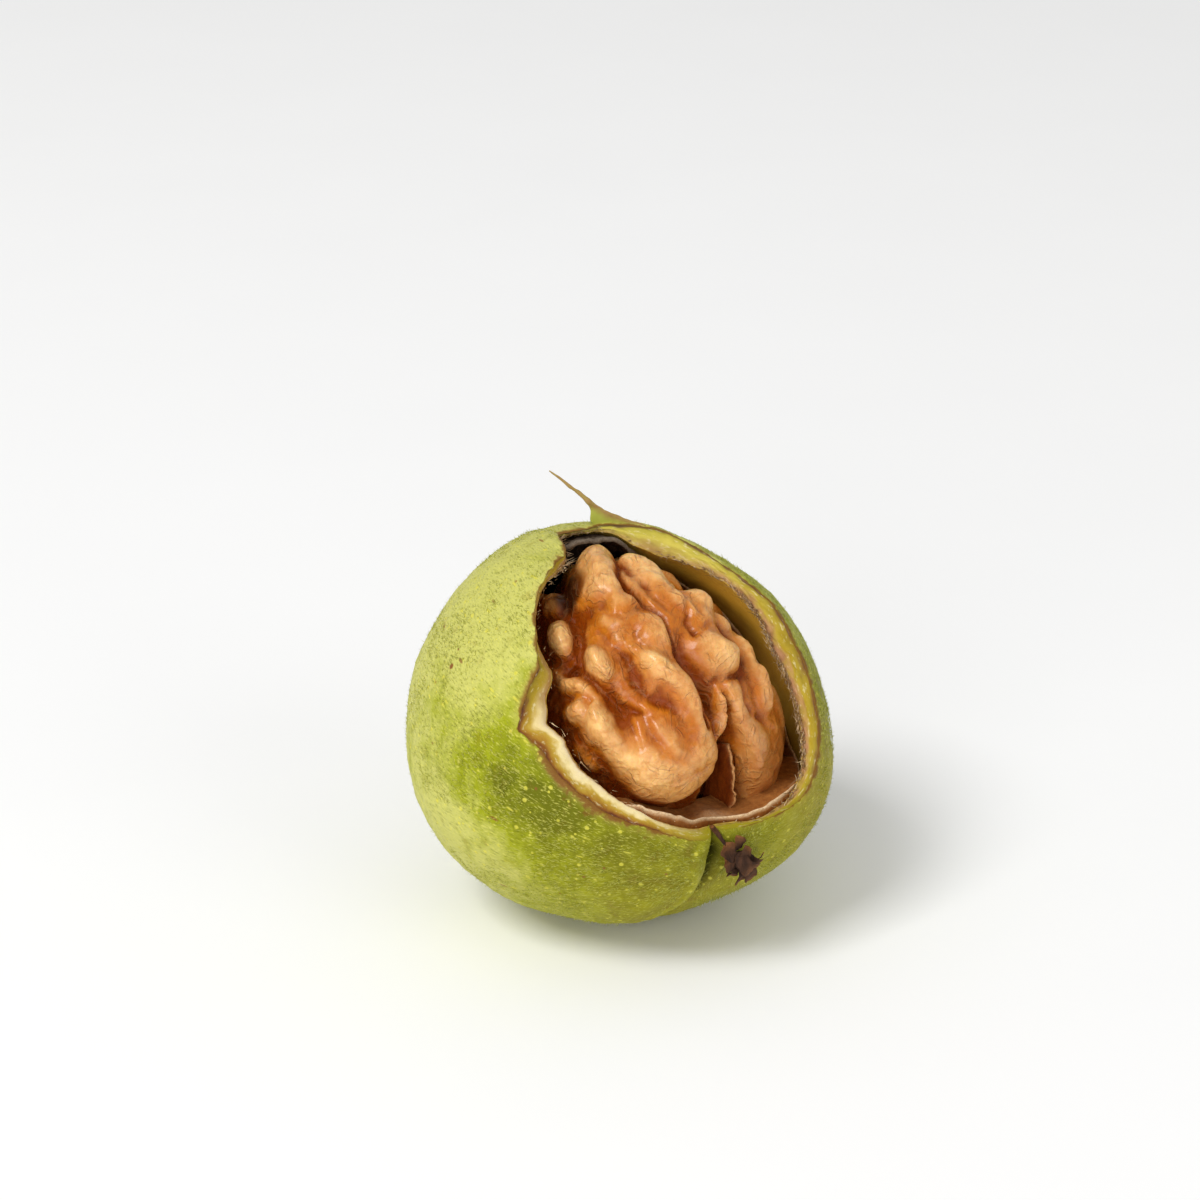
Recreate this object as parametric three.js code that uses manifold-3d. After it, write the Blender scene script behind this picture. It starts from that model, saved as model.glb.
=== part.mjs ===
// A walnut in its green husk, lying on its side. The husk has torn open from the dried blossom
// at its tip, so the two-lobed kernel shows in what is left of its thin shell, with the papery
// partition between the lobes.
//
// Frame: millimetres, +Z up, -Y towards the front. The origin is on the small flat that the husk
// rests on, straight below the husk's centre. Every piece is described by directions from that
// centre and radii along them. A direction is given by its bearing (azimuth from +X towards +Y,
// then elevation), or, about the mouth of the husk, by phi (turn round the mouth's axis, 0 at the
// tip side and growing through the right-hand side) and theta (angle away from the mouth's axis).

import * as THREE from "three";
import { mergeVertices } from "three/addons/utils/BufferGeometryUtils.js";
import Module from "manifold-3d";

const wasm = await Module();
wasm.setup();

// ---------------------------------------------------------------- driving dimensions (mm, degrees)

const HUSK_SEMI_AXES = [27.0, 26.8, 25.6]; // along X, Y and Z
const HUSK_CENTRE_HEIGHT = 24.9; // above the flat it rests on
const HUSK_WALL = 3.8; // away from the torn rim
const WALL_BLEND = 25; // degrees from the rim over which the wall comes to that thickness
const LIFT_BLEND = 14; // degrees from the rim over which its curl in or out dies away

// Broad swellings and flats of the husk: [azimuth, elevation, height].
const SWELLS = [
  [-158, -29, 0.65],
  [140, 66, 1.5],
  [25, 57, -1.25],
  [-1, 16, -0.8],
  [-17, -20, 1.7],
  [-42, -48, -0.5],
  [-100, -60, -0.5],
];
const SWELL_SHARPNESS = 9;

const MOUTH = bearing(-70, 36); // axis of the torn mouth
const TIP = bearing(-55.2, -17.6); // where the blossom sat

// The torn rim: [phi, theta of the outer edge, degrees that the inner edge reaches further in,
// wall thickness, lift of the edge]. It has a corner at 235, a notch at 259 and a cleft at 177.
const RIM = [
  [0, 47, 0, 1.3, 0],
  [8, 48.5, 0, 1.3, 0],
  [19, 51.5, 0, 1.7, 0],
  [28, 54.5, 0, 2.0, 0],
  [38, 54.5, 0, 2.1, 0],
  [46, 54, 0, 2.5, 0],
  [56, 52.5, 0, 3.0, 0],
  [71, 51.8, 0, 3.3, 0],
  [86, 50.5, 0, 3.5, 0],
  [97, 54, 0, 2.9, 0],
  [106, 56, 0, 2.5, 0],
  [115, 59, 0, 2.2, 0],
  [125, 63, 0, 2.3, 0],
  [133, 67.5, 0, 2.8, 0],
  [142, 70, 0, 3.4, 0],
  [151, 71, 0, 2.9, -0.2],
  [157, 73, 0, 1.6, -0.6],
  [161, 76, 0, 1.1, -1.1],
  [166, 73, 0, 0.9, -1.4],
  [172, 72, 0, 0.9, -1.4],
  [176, 71, 0, 1.2, -1.3],
  [178, 66, 0, 1.4, -1.0],
  [180, 58, -2, 1.6, -0.9],
  [184, 54.5, -2, 1.8, -1.0],
  [189, 52.3, -2, 1.9, -0.5],
  [195, 50, -2, 2.0, 0],
  [203, 49, -1, 2.2, 0],
  [212, 46, 0, 2.5, 0],
  [222, 42, 0, 2.8, 0],
  [235, 37.5, 1.5, 3.0, 0],
  [241, 39.5, 3, 3.2, 0],
  [249, 42, 4.5, 3.4, 0],
  [255, 44.2, 6, 3.5, 0],
  [259, 46.1, 6.8, 3.6, 0],
  [263, 43.8, 6.6, 3.6, 0],
  [270, 41.6, 5.8, 3.6, 0],
  [284, 41.4, 4.6, 3.6, 0],
  [296, 40.7, 4, 3.5, 0],
  [306, 41, 3.6, 3.3, 0],
  [320, 40.8, 2.4, 2.8, 0],
  [334, 42, 1.2, 2.1, 0.2],
  [346, 44.4, 0.4, 1.5, 0.4],
  [349.5, 45, 0.2, 1.4, 0.2],
  [351, 45.4, 0, 1.4, 0],
  [353, 45.8, 0, 1.4, 0],
  [356, 46.4, 0, 1.3, 0],
  [360, 47, 0, 1.3, 0],
];

// The closed part of the split: a crease that runs from the rim, past the tip, to the underside.
// Its left lip swells over its right one.
const CREASE = {
  reach: 60, // how far round from it the points of the mesh drift along with it
  depth: 2.3,
  leftWidth: 0.7,
  rightWidth: 6,
  insideWidth: 5.6,
  lip: 0.3, // height of the swollen left lip as a share of the depth
  lipAt: -4.5,
  lipWidth: 3.5,
  deepTo: 70, // theta
  endsAt: 112,
};
// The course of the crease: [theta, phi].
const CREASE_LINE = [
  [46, 351],
  [51, 353],
  [56.8, 353.8],
  [61.4, 351.6],
  [69, 349.9],
  [76.7, 348.6],
  [88, 346],
  [112, 340],
];
const TIP_MOUND = { height: 0.9, width: 2.6 };

const GAP = 0.35; // between neighbouring pieces
const SHELL_WALL = 0.9;
// How far up the thin shell still stands round the kernel: [phi, theta of its rim].
const SHELL_RIM = [
  [0, 49],
  [8, 50],
  [14, 50.5],
  [20, 51.5],
  [28, 54],
  [34, 57],
  [40, 64],
  [48, 76],
  [56, 88],
  [70, 94],
  [95, 97],
  [120, 96],
  [132, 93],
  [140, 86],
  [147, 77],
  [152, 72],
  [158, 70],
  [164, 69],
  [172, 69],
  [178, 70],
  [190, 70],
  [210, 76],
  [235, 74],
  [255, 64],
  [275, 54],
  [295, 47],
  [308, 42],
  [320, 39.2],
  [337, 41],
  [350, 45.5],
  [360, 49],
];

// Folds of the kernel that show in the mouth, each a mound on its surface:
// [phi, theta, half length, half width, turn of its length from theta towards phi, crest radius].
const LEFT_LOBE = [
  [172, 57, 7.5, 3.0, 162, 23.9],
  [180, 59, 4.5, 1.2, 154, 21.2],
  [171, 47, 6.2, 1.5, 162, 23.0],
  [174, 34, 2.7, 1.5, 83, 21.9],
  [164, 21, 3.7, 2.6, 36, 22.2],
  [221, 25, 3.3, 1.9, 144, 21.9],
  [194, 23, 4.2, 1.8, 174, 20.9],
  [178, 6, 4.1, 2.2, 26, 22.5],
  [26, 9, 6.2, 2.2, 153, 22.2],
  [258, 31, 2.4, 2.1, 142, 21.0],
  [272, 25, 3.3, 1.9, 92, 22.0],
  [295, 27, 3.9, 2.1, 71, 21.9],
  [336, 26, 6.6, 5.9, 80, 22.8],
  [2, 23, 5.4, 3.2, 10, 22.4],
  [326, 12, 4.7, 2.6, 60, 21.6],
];
const RIGHT_LOBE = [
  [154, 54, 5.4, 2.2, 35, 22.9],
  [161, 37, 5.8, 1.0, 10, 21.6],
  [143, 38, 3.9, 1.5, 36, 22.0],
  [127, 40, 2.8, 2.4, 85, 22.5],
  [108, 40, 2.4, 1.3, 101, 21.4],
  [122, 21, 4.6, 1.8, 53, 20.9],
  [93, 24, 4.3, 3.1, 141, 22.7],
  [88, 42, 2.9, 1.2, 67, 21.6],
  [66, 40, 3.8, 1.5, 106, 22.4],
  [62, 54, 3.4, 1.6, 118, 22.6],
  [57, 27, 4.4, 2.2, 129, 21.2],
  [41, 54, 8.2, 5.0, 118, 22.6],
];
const LEFT_EDGE = [
  [192, 64, 3.3, 1.3, 152, 19.6],
  [208, 45, 3.6, 1.5, 150, 20.0],
  [241, 29, 4.0, 1.3, 149, 20.0],
  [286, 37, 3.3, 1.8, 92, 19.4],
];
// Fuller parts of the lobes, which fill between the folds, in the same way.
const FULLNESS = [
  [178, 48, 4.6, 2.9, 166, 22.4],
  [182, 29, 3.4, 3, 6, 22],
  [163, 18, 5, 3, 23, 22.3],
  [56, 4, 5, 2.6, 126, 22.4],
  [234, 12, 4.5, 3, 138, 20.9],
  [328, 21, 6, 5.5, 38, 22.6],
  [276, 27, 3.6, 2.4, 86, 21.9],
  [243, 28, 4.2, 1.6, 147, 20.6],
  [154, 45, 5, 2.2, 15, 22.3],
  [139, 33, 3.4, 2.6, 35, 22.2],
  [120, 33, 3.6, 3.2, 81, 22.3],
  [93, 24, 3.6, 3.4, 91, 22.5],
  [60, 25, 3.4, 2.6, 107, 21.8],
  [66, 40, 4, 1.8, 102, 22.2],
  [35, 41, 6, 3.8, 150, 22.6],
  [170, 47, 6, 3, 171, 22.2],
  [187, 24, 7, 5, 166, 21.5],
  [296, 4, 7, 5, 67, 20.9],
  [143, 33, 7, 4.5, 32, 22.2],
  [104, 25, 6, 4.5, 76, 22],
  [51, 31, 7, 4.5, 126, 22],
];
// The folds that the husk hides, spread evenly over the rest of the kernel.
const HIDDEN = { count: 56, from: 78, halfLength: 4.6, halfWidth: 2.5, crest: 22.6 };
const KERNEL_CORE = 17.4; // radius at the bottom of the folds
const FOLD_RISE = 0.9; // height of a fold as a share of its half width
const FOLD_RISE_MOST = 2.6;
const FOLD_SIDE = 1.3; // slope of a fold's side below its rim
const FOLD_SHARPNESS = 1.7; // per mm, how tightly two folds meet
const FOLD_ROUNDNESS = 0.8; // 0.5 makes the top of a fold half an ellipse, and 1 a parabola
const KERNEL_DETAIL = 18;
const KERNEL_FOCUS = 0.55; // size of its facets in the middle of the mouth, as a share of the mean

// The partition, a sheet in the plane that lies the given offset along its normal from the husk's
// centre. Angles run in that plane, round the foot of that normal, from the tip towards the top.
const PARTITION_PLANE = { normal: new THREE.Vector3(0.765, 0.643, 0.03).normalize(), offset: 1.56 };
const PARTITION = { from: -8, to: 27, inner: 15.6, outer: 20.9, thickness: 0.7, steps: 12 };
const SLOT = { from: -12, to: 30, inner: 15.2, outer: 30 };

// A strand of torn skin that stands up from the rim: [x, y, z above the husk's centre, half width].
const STRAND = [
  [3.4, 8.7, 22.3, 0.8],
  [1.2, 9.2, 23.4, 1.0],
  [-1.2, 9.7, 24.4, 0.9],
  [-2.7, 9.8, 25.5, 0.62],
  [-3.7, 10.0, 26.4, 0.5],
  [-4.9, 10.6, 27.4, 0.5],
  [-6.2, 11.1, 28.2, 0.45],
  [-7.6, 11.9, 29.1, 0.4],
  [-8.9, 12.8, 29.7, 0.35],
];
const STRAND_SIDES = 6;

// The dried blossom, a ragged flat rosette on the tip: [turn round the tip, reach].
const BLOSSOM = [
  [0, 2.2],
  [18, 2.6],
  [32, 2.2],
  [50, 3.4],
  [58, 3.9],
  [64, 3.0],
  [70, 4.3],
  [80, 3.1],
  [92, 4.3],
  [112, 2.6],
  [150, 1.8],
  [199, 2.1],
  [225, 1.6],
  [251, 3.4],
  [265, 1.9],
  [284, 2.0],
  [325, 1.7],
  [360, 2.2],
];
const BLOSSOM_HEIGHT = { middle: 1.9, edge: 0.7, curl: 1.5 };

// How finely the bowls are sampled: degrees of phi between points, and rows from pole to rim.
const LONGEST_STEP = 5;
const HUSK_STEPS = 14;
const SHELL_STEPS = 8;

// ---------------------------------------------------------------- directions

function bearing(azimuth, elevation) {
  const a = THREE.MathUtils.degToRad(azimuth);
  const e = THREE.MathUtils.degToRad(elevation);
  return new THREE.Vector3(Math.cos(e) * Math.cos(a), Math.cos(e) * Math.sin(a), Math.sin(e));
}

// The unit part of a that is square to b.
function squareTo(a, b) {
  return a.clone().addScaledVector(b, -a.dot(b)).normalize();
}

const MOUTH_TO_TIP = squareTo(TIP, MOUTH);
const MOUTH_TO_RIGHT = new THREE.Vector3().crossVectors(MOUTH, MOUTH_TO_TIP);

function fromMouth(phi, theta) {
  const p = THREE.MathUtils.degToRad(phi);
  const t = THREE.MathUtils.degToRad(theta);
  return MOUTH.clone()
    .multiplyScalar(Math.cos(t))
    .addScaledVector(MOUTH_TO_TIP, Math.sin(t) * Math.cos(p))
    .addScaledVector(MOUTH_TO_RIGHT, Math.sin(t) * Math.sin(p));
}

function mouthAngles(d) {
  const phi = THREE.MathUtils.radToDeg(Math.atan2(d.dot(MOUTH_TO_RIGHT), d.dot(MOUTH_TO_TIP)));
  const theta = THREE.MathUtils.radToDeg(Math.acos(THREE.MathUtils.clamp(d.dot(MOUTH), -1, 1)));
  return [(phi + 360) % 360, theta];
}

function turnBetween(from, to) {
  return THREE.MathUtils.euclideanModulo(to - from + 180, 360) - 180;
}

// The value in column i of a table whose rows start with an angle from 0 to 360, between rows.
function alongTable(table, angle, i) {
  const next = Math.max(1, table.findIndex((row) => row[0] >= angle));
  const [a, b] = [table[next - 1], table[next]];
  return THREE.MathUtils.mapLinear(angle, a[0], b[0], a[i], b[i]);
}

// ---------------------------------------------------------------- surfaces round the husk's centre

const SWELL_LIST = SWELLS.map(([azimuth, elevation, height]) => [bearing(azimuth, elevation), height]);

// The husk without its crease and the mound at its tip.
function huskBody(d) {
  const [a, b, c] = HUSK_SEMI_AXES;
  let radius = 1 / Math.hypot(d.x / a, d.y / b, d.z / c);
  for (const [centre, height] of SWELL_LIST)
    radius += height * Math.exp(SWELL_SHARPNESS * (d.dot(centre) - 1));
  const [phi, theta] = mouthAngles(d);
  const inFromRim = Math.max(0, theta - alongTable(RIM, phi, 1));
  return radius + alongTable(RIM, phi, 4) * Math.exp(-inFromRim / LIFT_BLEND);
}

function creasePhi(theta) {
  const within = THREE.MathUtils.clamp(theta, CREASE_LINE[0][0], CREASE_LINE.at(-1)[0]);
  return alongTable(CREASE_LINE, within, 1);
}

// The distance across the crease to a direction, positive to its right, and how deep it still is.
function fromCrease(d) {
  const [phi, theta] = mouthAngles(d);
  const turn = THREE.MathUtils.degToRad(turnBetween(creasePhi(theta), phi));
  const across = turn * HUSK_SEMI_AXES[0] * Math.sin(THREE.MathUtils.degToRad(theta));
  const depth = CREASE.depth * (1 - THREE.MathUtils.smoothstep(theta, CREASE.deepTo, CREASE.endsAt));
  return [across, depth];
}

function huskOuter(d) {
  const [across, depth] = fromCrease(d);
  const width = across < 0 ? CREASE.leftWidth : CREASE.rightWidth;
  const valley = Math.exp(-Math.abs(across) / width);
  const lip = CREASE.lip * Math.exp(-(((across - CREASE.lipAt) / CREASE.lipWidth) ** 2));
  const body = huskBody(d);
  const mound = TIP_MOUND.height * Math.exp(-(((body * d.angleTo(TIP)) / TIP_MOUND.width) ** 2));
  return body + mound + depth * (lip - valley);
}

// Inside, the crease is only a wide and shallow fold.
function huskInner(d) {
  const [phi, theta] = mouthAngles(d);
  const rim = alongTable(RIM, phi, 1) - alongTable(RIM, phi, 2);
  const wall = THREE.MathUtils.lerp(
    alongTable(RIM, phi, 3),
    HUSK_WALL,
    THREE.MathUtils.smoothstep(theta, rim, rim + WALL_BLEND),
  );
  const [across, depth] = fromCrease(d);
  return huskBody(d) - depth * Math.exp(-((across / CREASE.insideWidth) ** 2)) - wall;
}

const shellOuter = (d) => huskInner(d) - GAP;
const shellInner = (d) => huskInner(d) - GAP - SHELL_WALL;

// The largest radius that the kernel may have: inside the shell, and free in the mouth.
function kernelLimit(d) {
  const [phi, theta] = mouthAngles(d);
  const rim = Math.min(alongTable(RIM, phi, 1) - Math.max(0, alongTable(RIM, phi, 2)), 90);
  return shellInner(d) - GAP + 0.9 * Math.max(0, rim - 4 - theta);
}

// ---------------------------------------------------------------- the kernel's folds

function fold(phi, theta, halfLength, halfWidth, turn, crest) {
  const centre = fromMouth(phi, theta);
  const away = squareTo(MOUTH.clone().negate(), centre);
  const round = new THREE.Vector3().crossVectors(centre, away);
  const t = THREE.MathUtils.degToRad(turn);
  const along = away.clone().multiplyScalar(Math.cos(t)).addScaledVector(round, Math.sin(t));
  const across = new THREE.Vector3().crossVectors(centre, along);
  return { centre, along, across, halfLength, halfWidth, crest };
}

// Hidden folds lie on a spiral that steps by the golden angle, so they are even on all sides.
function hiddenFolds() {
  const goldenAngle = 180 * (3 - Math.sqrt(5));
  const folds = [];
  for (let i = 0; i < HIDDEN.count; i++) {
    const theta = THREE.MathUtils.radToDeg(Math.acos(1 - (2 * (i + 0.5)) / HIDDEN.count));
    const phi = (i * goldenAngle) % 360;
    const length = HIDDEN.halfLength * (0.8 + 0.4 * Math.sin(2.1 * i) ** 2);
    const turn = 90 + 70 * Math.sin(1.7 * i);
    if (theta > HIDDEN.from)
      folds.push(fold(phi, theta, length, HIDDEN.halfWidth, turn, HIDDEN.crest));
  }
  return folds;
}

const FOLDS = [...LEFT_LOBE, ...RIGHT_LOBE, ...LEFT_EDGE, ...FULLNESS]
  .map((row) => fold(...row))
  .concat(hiddenFolds());

// The height of one fold above the husk's centre: a rounded top, then a steep side.
function foldRadius(f, d) {
  if (d.dot(f.centre) < 0.5) return 0;
  const alongShare = (d.dot(f.along) * f.crest) / f.halfLength;
  const acrossShare = (d.dot(f.across) * f.crest) / f.halfWidth;
  const u = Math.hypot(alongShare, acrossShare);
  const rise = Math.min(FOLD_RISE * f.halfWidth, FOLD_RISE_MOST);
  const side = FOLD_SIDE * f.halfWidth;
  return f.crest - rise + (u < 1 ? rise * (1 - u * u) ** FOLD_ROUNDNESS : side * (1 - u));
}

// A smooth maximum over the folds and the core, held back smoothly by the shell.
function kernelRadius(d) {
  const k = FOLD_SHARPNESS;
  let sum = Math.exp(k * (KERNEL_CORE - 20));
  for (const f of FOLDS) sum += Math.exp(k * (foldRadius(f, d) - 20));
  const radius = 20 + Math.log(sum) / k;
  return 20 - Math.log(Math.exp(-k * (radius - 20)) + Math.exp(-k * (kernelLimit(d) - 20))) / k;
}

// ---------------------------------------------------------------- meshes and solids

// A closed skin over rows of points. A row of one point is a pole, and all others have equal
// lengths and close on themselves. Faces point out where rows run downwards and points run
// anticlockwise, seen from above.
function skin(rows) {
  const starts = [];
  const positions = [];
  for (const row of rows) {
    starts.push(positions.length / 3);
    for (const p of row) positions.push(p.x, p.y, p.z);
  }
  const faces = [];
  for (let r = 0; r + 1 < rows.length; r++) {
    const n = Math.max(rows[r].length, rows[r + 1].length);
    const at = (row, i) => starts[row] + (rows[row].length === 1 ? 0 : i % n);
    for (let i = 0; i < n; i++) {
      if (rows[r + 1].length > 1) faces.push(at(r, i), at(r + 1, i), at(r + 1, i + 1));
      if (rows[r].length > 1) faces.push(at(r, i), at(r + 1, i + 1), at(r, i + 1));
    }
  }
  const geometry = new THREE.BufferGeometry();
  geometry.setAttribute("position", new THREE.Float32BufferAttribute(positions, 3));
  geometry.setIndex(faces);
  return geometry;
}

function solid(geometry) {
  const merged = mergeVertices(geometry, 1e-4);
  return new wasm.Manifold(
    new wasm.Mesh({
      numProp: 3,
      vertProperties: new Float32Array(merged.attributes.position.array),
      triVerts: new Uint32Array(merged.index.array),
    }),
  );
}

function geometryOf(manifold) {
  const mesh = manifold.getMesh();
  const geometry = new THREE.BufferGeometry();
  const points = new Float32Array(mesh.vertProperties);
  geometry.setAttribute("position", new THREE.BufferAttribute(points, 3));
  geometry.setIndex(new THREE.BufferAttribute(new Uint32Array(mesh.triVerts), 1));
  return geometry;
}

// ---------------------------------------------------------------- the pieces

// The angles phi that the husk is sampled at: each row of its rim's table, and even steps between.
function rimAngles(longestStep) {
  const angles = [];
  for (let i = 0; i + 1 < RIM.length; i++) {
    const [from, to] = [RIM[i][0], RIM[i + 1][0]];
    const steps = Math.ceil((to - from) / longestStep);
    for (let s = 0; s < steps; s++) angles.push(from + ((to - from) * s) / steps);
  }
  return angles;
}

// Near the crease the points of one angle drift with it, so that it stays crisp.
function drifted(phi, theta) {
  const start = CREASE_LINE[0][1];
  const near = Math.max(0, 1 - Math.abs(turnBetween(start, phi)) / CREASE.reach);
  return phi + near * (creasePhi(theta) - start);
}

// A bowl with its pole opposite the mouth: up its outside, over its rim and down its inside.
function bowl(outerRim, innerRim, outerRadius, innerRadius, steps) {
  const angles = rimAngles(LONGEST_STEP);
  const ring = (rim, radius, share) =>
    angles.map((phi) => {
      const theta = THREE.MathUtils.lerp(180, rim(phi), share);
      const d = fromMouth(drifted(phi, theta), theta);
      return d.multiplyScalar(radius(d));
    });
  const pole = (radius) => {
    const d = MOUTH.clone().negate();
    return [d.multiplyScalar(radius(d))];
  };
  const rows = [pole(innerRadius)];
  for (let s = 1; s <= steps; s++) rows.push(ring(innerRim, innerRadius, s / steps));
  for (let s = steps; s >= 1; s--) rows.push(ring(outerRim, outerRadius, s / steps));
  rows.push(pole(outerRadius));
  return skin(rows);
}

function strandSolid() {
  const points = STRAND.map(([x, y, z]) => new THREE.Vector3(x, y, z));
  const curve = new THREE.CatmullRomCurve3(points);
  const rows = points.map((p, i) => {
    const forward = curve.getTangent(i / (points.length - 1));
    const side = squareTo(new THREE.Vector3(0, -1, 0), forward);
    const up = new THREE.Vector3().crossVectors(forward, side);
    return Array.from({ length: STRAND_SIDES }, (_, k) => {
      const turn = (-2 * Math.PI * k) / STRAND_SIDES;
      return p
        .clone()
        .addScaledVector(side, STRAND[i][3] * Math.cos(turn))
        .addScaledVector(up, STRAND[i][3] * Math.sin(turn));
    });
  });
  return solid(skin([[points[0]], ...rows, [points[points.length - 1]]]));
}

function huskGeometry() {
  const outerRim = (phi) => alongTable(RIM, phi, 1);
  const innerRim = (phi) => alongTable(RIM, phi, 1) - alongTable(RIM, phi, 2);
  const wall = solid(bowl(outerRim, innerRim, huskOuter, huskInner, HUSK_STEPS));
  const ground = new THREE.BoxGeometry(80, 80, 40).deleteAttribute("normal").deleteAttribute("uv");
  ground.translate(0, 0, -HUSK_CENTRE_HEIGHT - 20);
  return geometryOf(wall.add(strandSolid()).subtract(solid(ground)));
}

function shellGeometry() {
  const rim = (phi) => alongTable(SHELL_RIM, phi, 1);
  return bowl(rim, rim, shellOuter, shellInner, SHELL_STEPS);
}

// A flat sheet in the partition's plane, between two angles and two radii.
function sheet({ from, to, inner, outer }, thickness, steps) {
  const { normal, offset } = PARTITION_PLANE;
  const toTip = squareTo(TIP, normal);
  const toTop = new THREE.Vector3().crossVectors(toTip, normal);
  const corner = (angle, radius, side) => {
    const t = THREE.MathUtils.degToRad(angle);
    return normal
      .clone()
      .multiplyScalar(offset + side)
      .addScaledVector(toTip, radius * Math.cos(t))
      .addScaledVector(toTop, radius * Math.sin(t));
  };
  const rows = [];
  const h = thickness / 2;
  for (let i = 0; i <= steps; i++) {
    const angle = THREE.MathUtils.lerp(from, to, i / steps);
    rows.push([
      corner(angle, inner, h),
      corner(angle, outer, h),
      corner(angle, outer, -h),
      corner(angle, inner, -h),
    ]);
  }
  const middle = (row) => {
    const sum = row.reduce((total, p) => total.add(p), new THREE.Vector3());
    return [sum.divideScalar(row.length)];
  };
  return skin([middle(rows[0]), ...rows, middle(rows[steps])]);
}

function kernelGeometry() {
  const ball = new THREE.IcosahedronGeometry(1, KERNEL_DETAIL);
  ball.deleteAttribute("normal").deleteAttribute("uv");
  const geometry = mergeVertices(ball, 1e-4);
  const position = geometry.attributes.position;
  const d = new THREE.Vector3();
  for (let i = 0; i < position.count; i++) {
    d.fromBufferAttribute(position, i).normalize();
    const [phi, theta] = mouthAngles(d);
    const drawnIn = fromMouth(phi, theta * THREE.MathUtils.lerp(KERNEL_FOCUS, 1, (theta / 180) ** 2));
    drawnIn.multiplyScalar(kernelRadius(drawnIn));
    position.setXYZ(i, drawnIn.x, drawnIn.y, drawnIn.z);
  }
  const slot = sheet(SLOT, PARTITION.thickness + 2 * GAP, PARTITION.steps);
  return geometryOf(solid(geometry).subtract(solid(slot)));
}

function partitionGeometry() {
  return sheet(PARTITION, PARTITION.thickness, PARTITION.steps);
}

// Rings round the tip, up from its seat on the husk and over its ragged edge.
function blossomGeometry() {
  const across = squareTo(MOUTH_TO_RIGHT, TIP);
  const down = new THREE.Vector3().crossVectors(across, TIP);
  const turns = BLOSSOM.slice(0, -1).map((row) => row[0]);
  const point = (turn, share, height) => {
    const t = THREE.MathUtils.degToRad(turn);
    const reach = alongTable(BLOSSOM, turn, 1) * share;
    const d = TIP.clone()
      .multiplyScalar(huskOuter(TIP))
      .addScaledVector(across, reach * Math.cos(t))
      .addScaledVector(down, reach * Math.sin(t))
      .normalize();
    const curl = BLOSSOM_HEIGHT.curl * (reach / 4.7) ** 2;
    return d.multiplyScalar(huskOuter(d) + GAP + curl + height);
  };
  const { middle, edge } = BLOSSOM_HEIGHT;
  const ring = (share, height) => turns.map((turn) => point(turn, share, height)).reverse();
  return skin([
    [point(0, 0, middle)],
    ring(0.35, middle),
    ring(0.65, edge + 0.3),
    ring(1, edge),
    ring(1, 0),
    ring(0.5, 0),
    [point(0, 0, 0)],
  ]);
}

// ---------------------------------------------------------------- the object

const MATERIALS = {
  green_husk: { color: 0x8aa63c, roughness: 0.6 },
  shell: { color: 0x9a6b45, roughness: 0.8 },
  kernel: { color: 0xcf8f52, roughness: 0.45 },
  partition: { color: 0x8a4f2a, roughness: 0.7 },
  dried_blossom: { color: 0x4a342c, roughness: 0.85 },
};

function piece(name, geometry) {
  const material = new THREE.MeshStandardMaterial({ metalness: 0, ...MATERIALS[name] });
  const mesh = new THREE.Mesh(geometry, material);
  mesh.name = name;
  return mesh;
}

const walnut = new THREE.Group();
walnut.add(
  piece("green_husk", huskGeometry()),
  piece("shell", shellGeometry()),
  piece("kernel", kernelGeometry()),
  piece("partition", partitionGeometry()),
  piece("dried_blossom", blossomGeometry()),
);
walnut.position.z = HUSK_CENTRE_HEIGHT;

export default walnut;
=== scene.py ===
"""A walnut lying in its split green husk: the fine surfaces and finishes round its solid frame.

Lengths in the shape functions are millimetres from the husk's centre, and angles are degrees.
A direction is given by its bearing (azimuth from +X towards +Y, then elevation) or, about the
mouth of the husk, by phi (turn round the mouth's axis, 0 at the tip side and growing through the
right-hand side) and theta (angle away from the mouth's axis).
"""

import bpy
import numpy as np
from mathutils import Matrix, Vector


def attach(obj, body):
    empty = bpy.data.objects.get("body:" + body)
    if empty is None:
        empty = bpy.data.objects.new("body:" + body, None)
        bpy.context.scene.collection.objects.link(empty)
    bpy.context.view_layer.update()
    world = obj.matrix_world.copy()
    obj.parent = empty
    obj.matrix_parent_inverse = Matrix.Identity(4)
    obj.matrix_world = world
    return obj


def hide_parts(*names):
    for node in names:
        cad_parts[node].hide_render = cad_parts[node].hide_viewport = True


bl_info = {
    "name": "Walnut in its Husk",
    "version": (1, 0, 0),
    "blender": (4, 5, 0),
    "location": "View3D > Sidebar > Walnut",
    "description": "Builds a walnut kernel in its shell remnant and torn green husk",
    "category": "Add Mesh",
}

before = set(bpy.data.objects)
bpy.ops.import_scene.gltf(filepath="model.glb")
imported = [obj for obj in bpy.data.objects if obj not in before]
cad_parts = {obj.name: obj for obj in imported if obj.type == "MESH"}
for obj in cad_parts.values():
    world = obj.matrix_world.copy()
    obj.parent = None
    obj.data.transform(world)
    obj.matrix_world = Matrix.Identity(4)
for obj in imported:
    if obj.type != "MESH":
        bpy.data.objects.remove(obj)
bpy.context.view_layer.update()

MM = 0.001
BODY = "root"
SEED = 11

# ------------------------------------------------------------------ shape of the nut (mm, degrees)

HUSK_CENTRE = np.array([0.0, 0.0, 24.9])
HUSK_SEMI_AXES = np.array([27.0, 26.8, 25.6])
HUSK_WALL = 3.8
# Degrees from the tear over which the wall thickens to its full, and the edge's lift dies away.
WALL_BLEND = 25.0
LIFT_BLEND = 14.0
# Radii at which noise and distances over the skin, the shell and the kernel are measured.
SKIN_RADIUS = 27.0
SHELL_RADIUS = 23.0
KERNEL_RADIUS = 22.0
SWELL_SHARPNESS = 9.0
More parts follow.
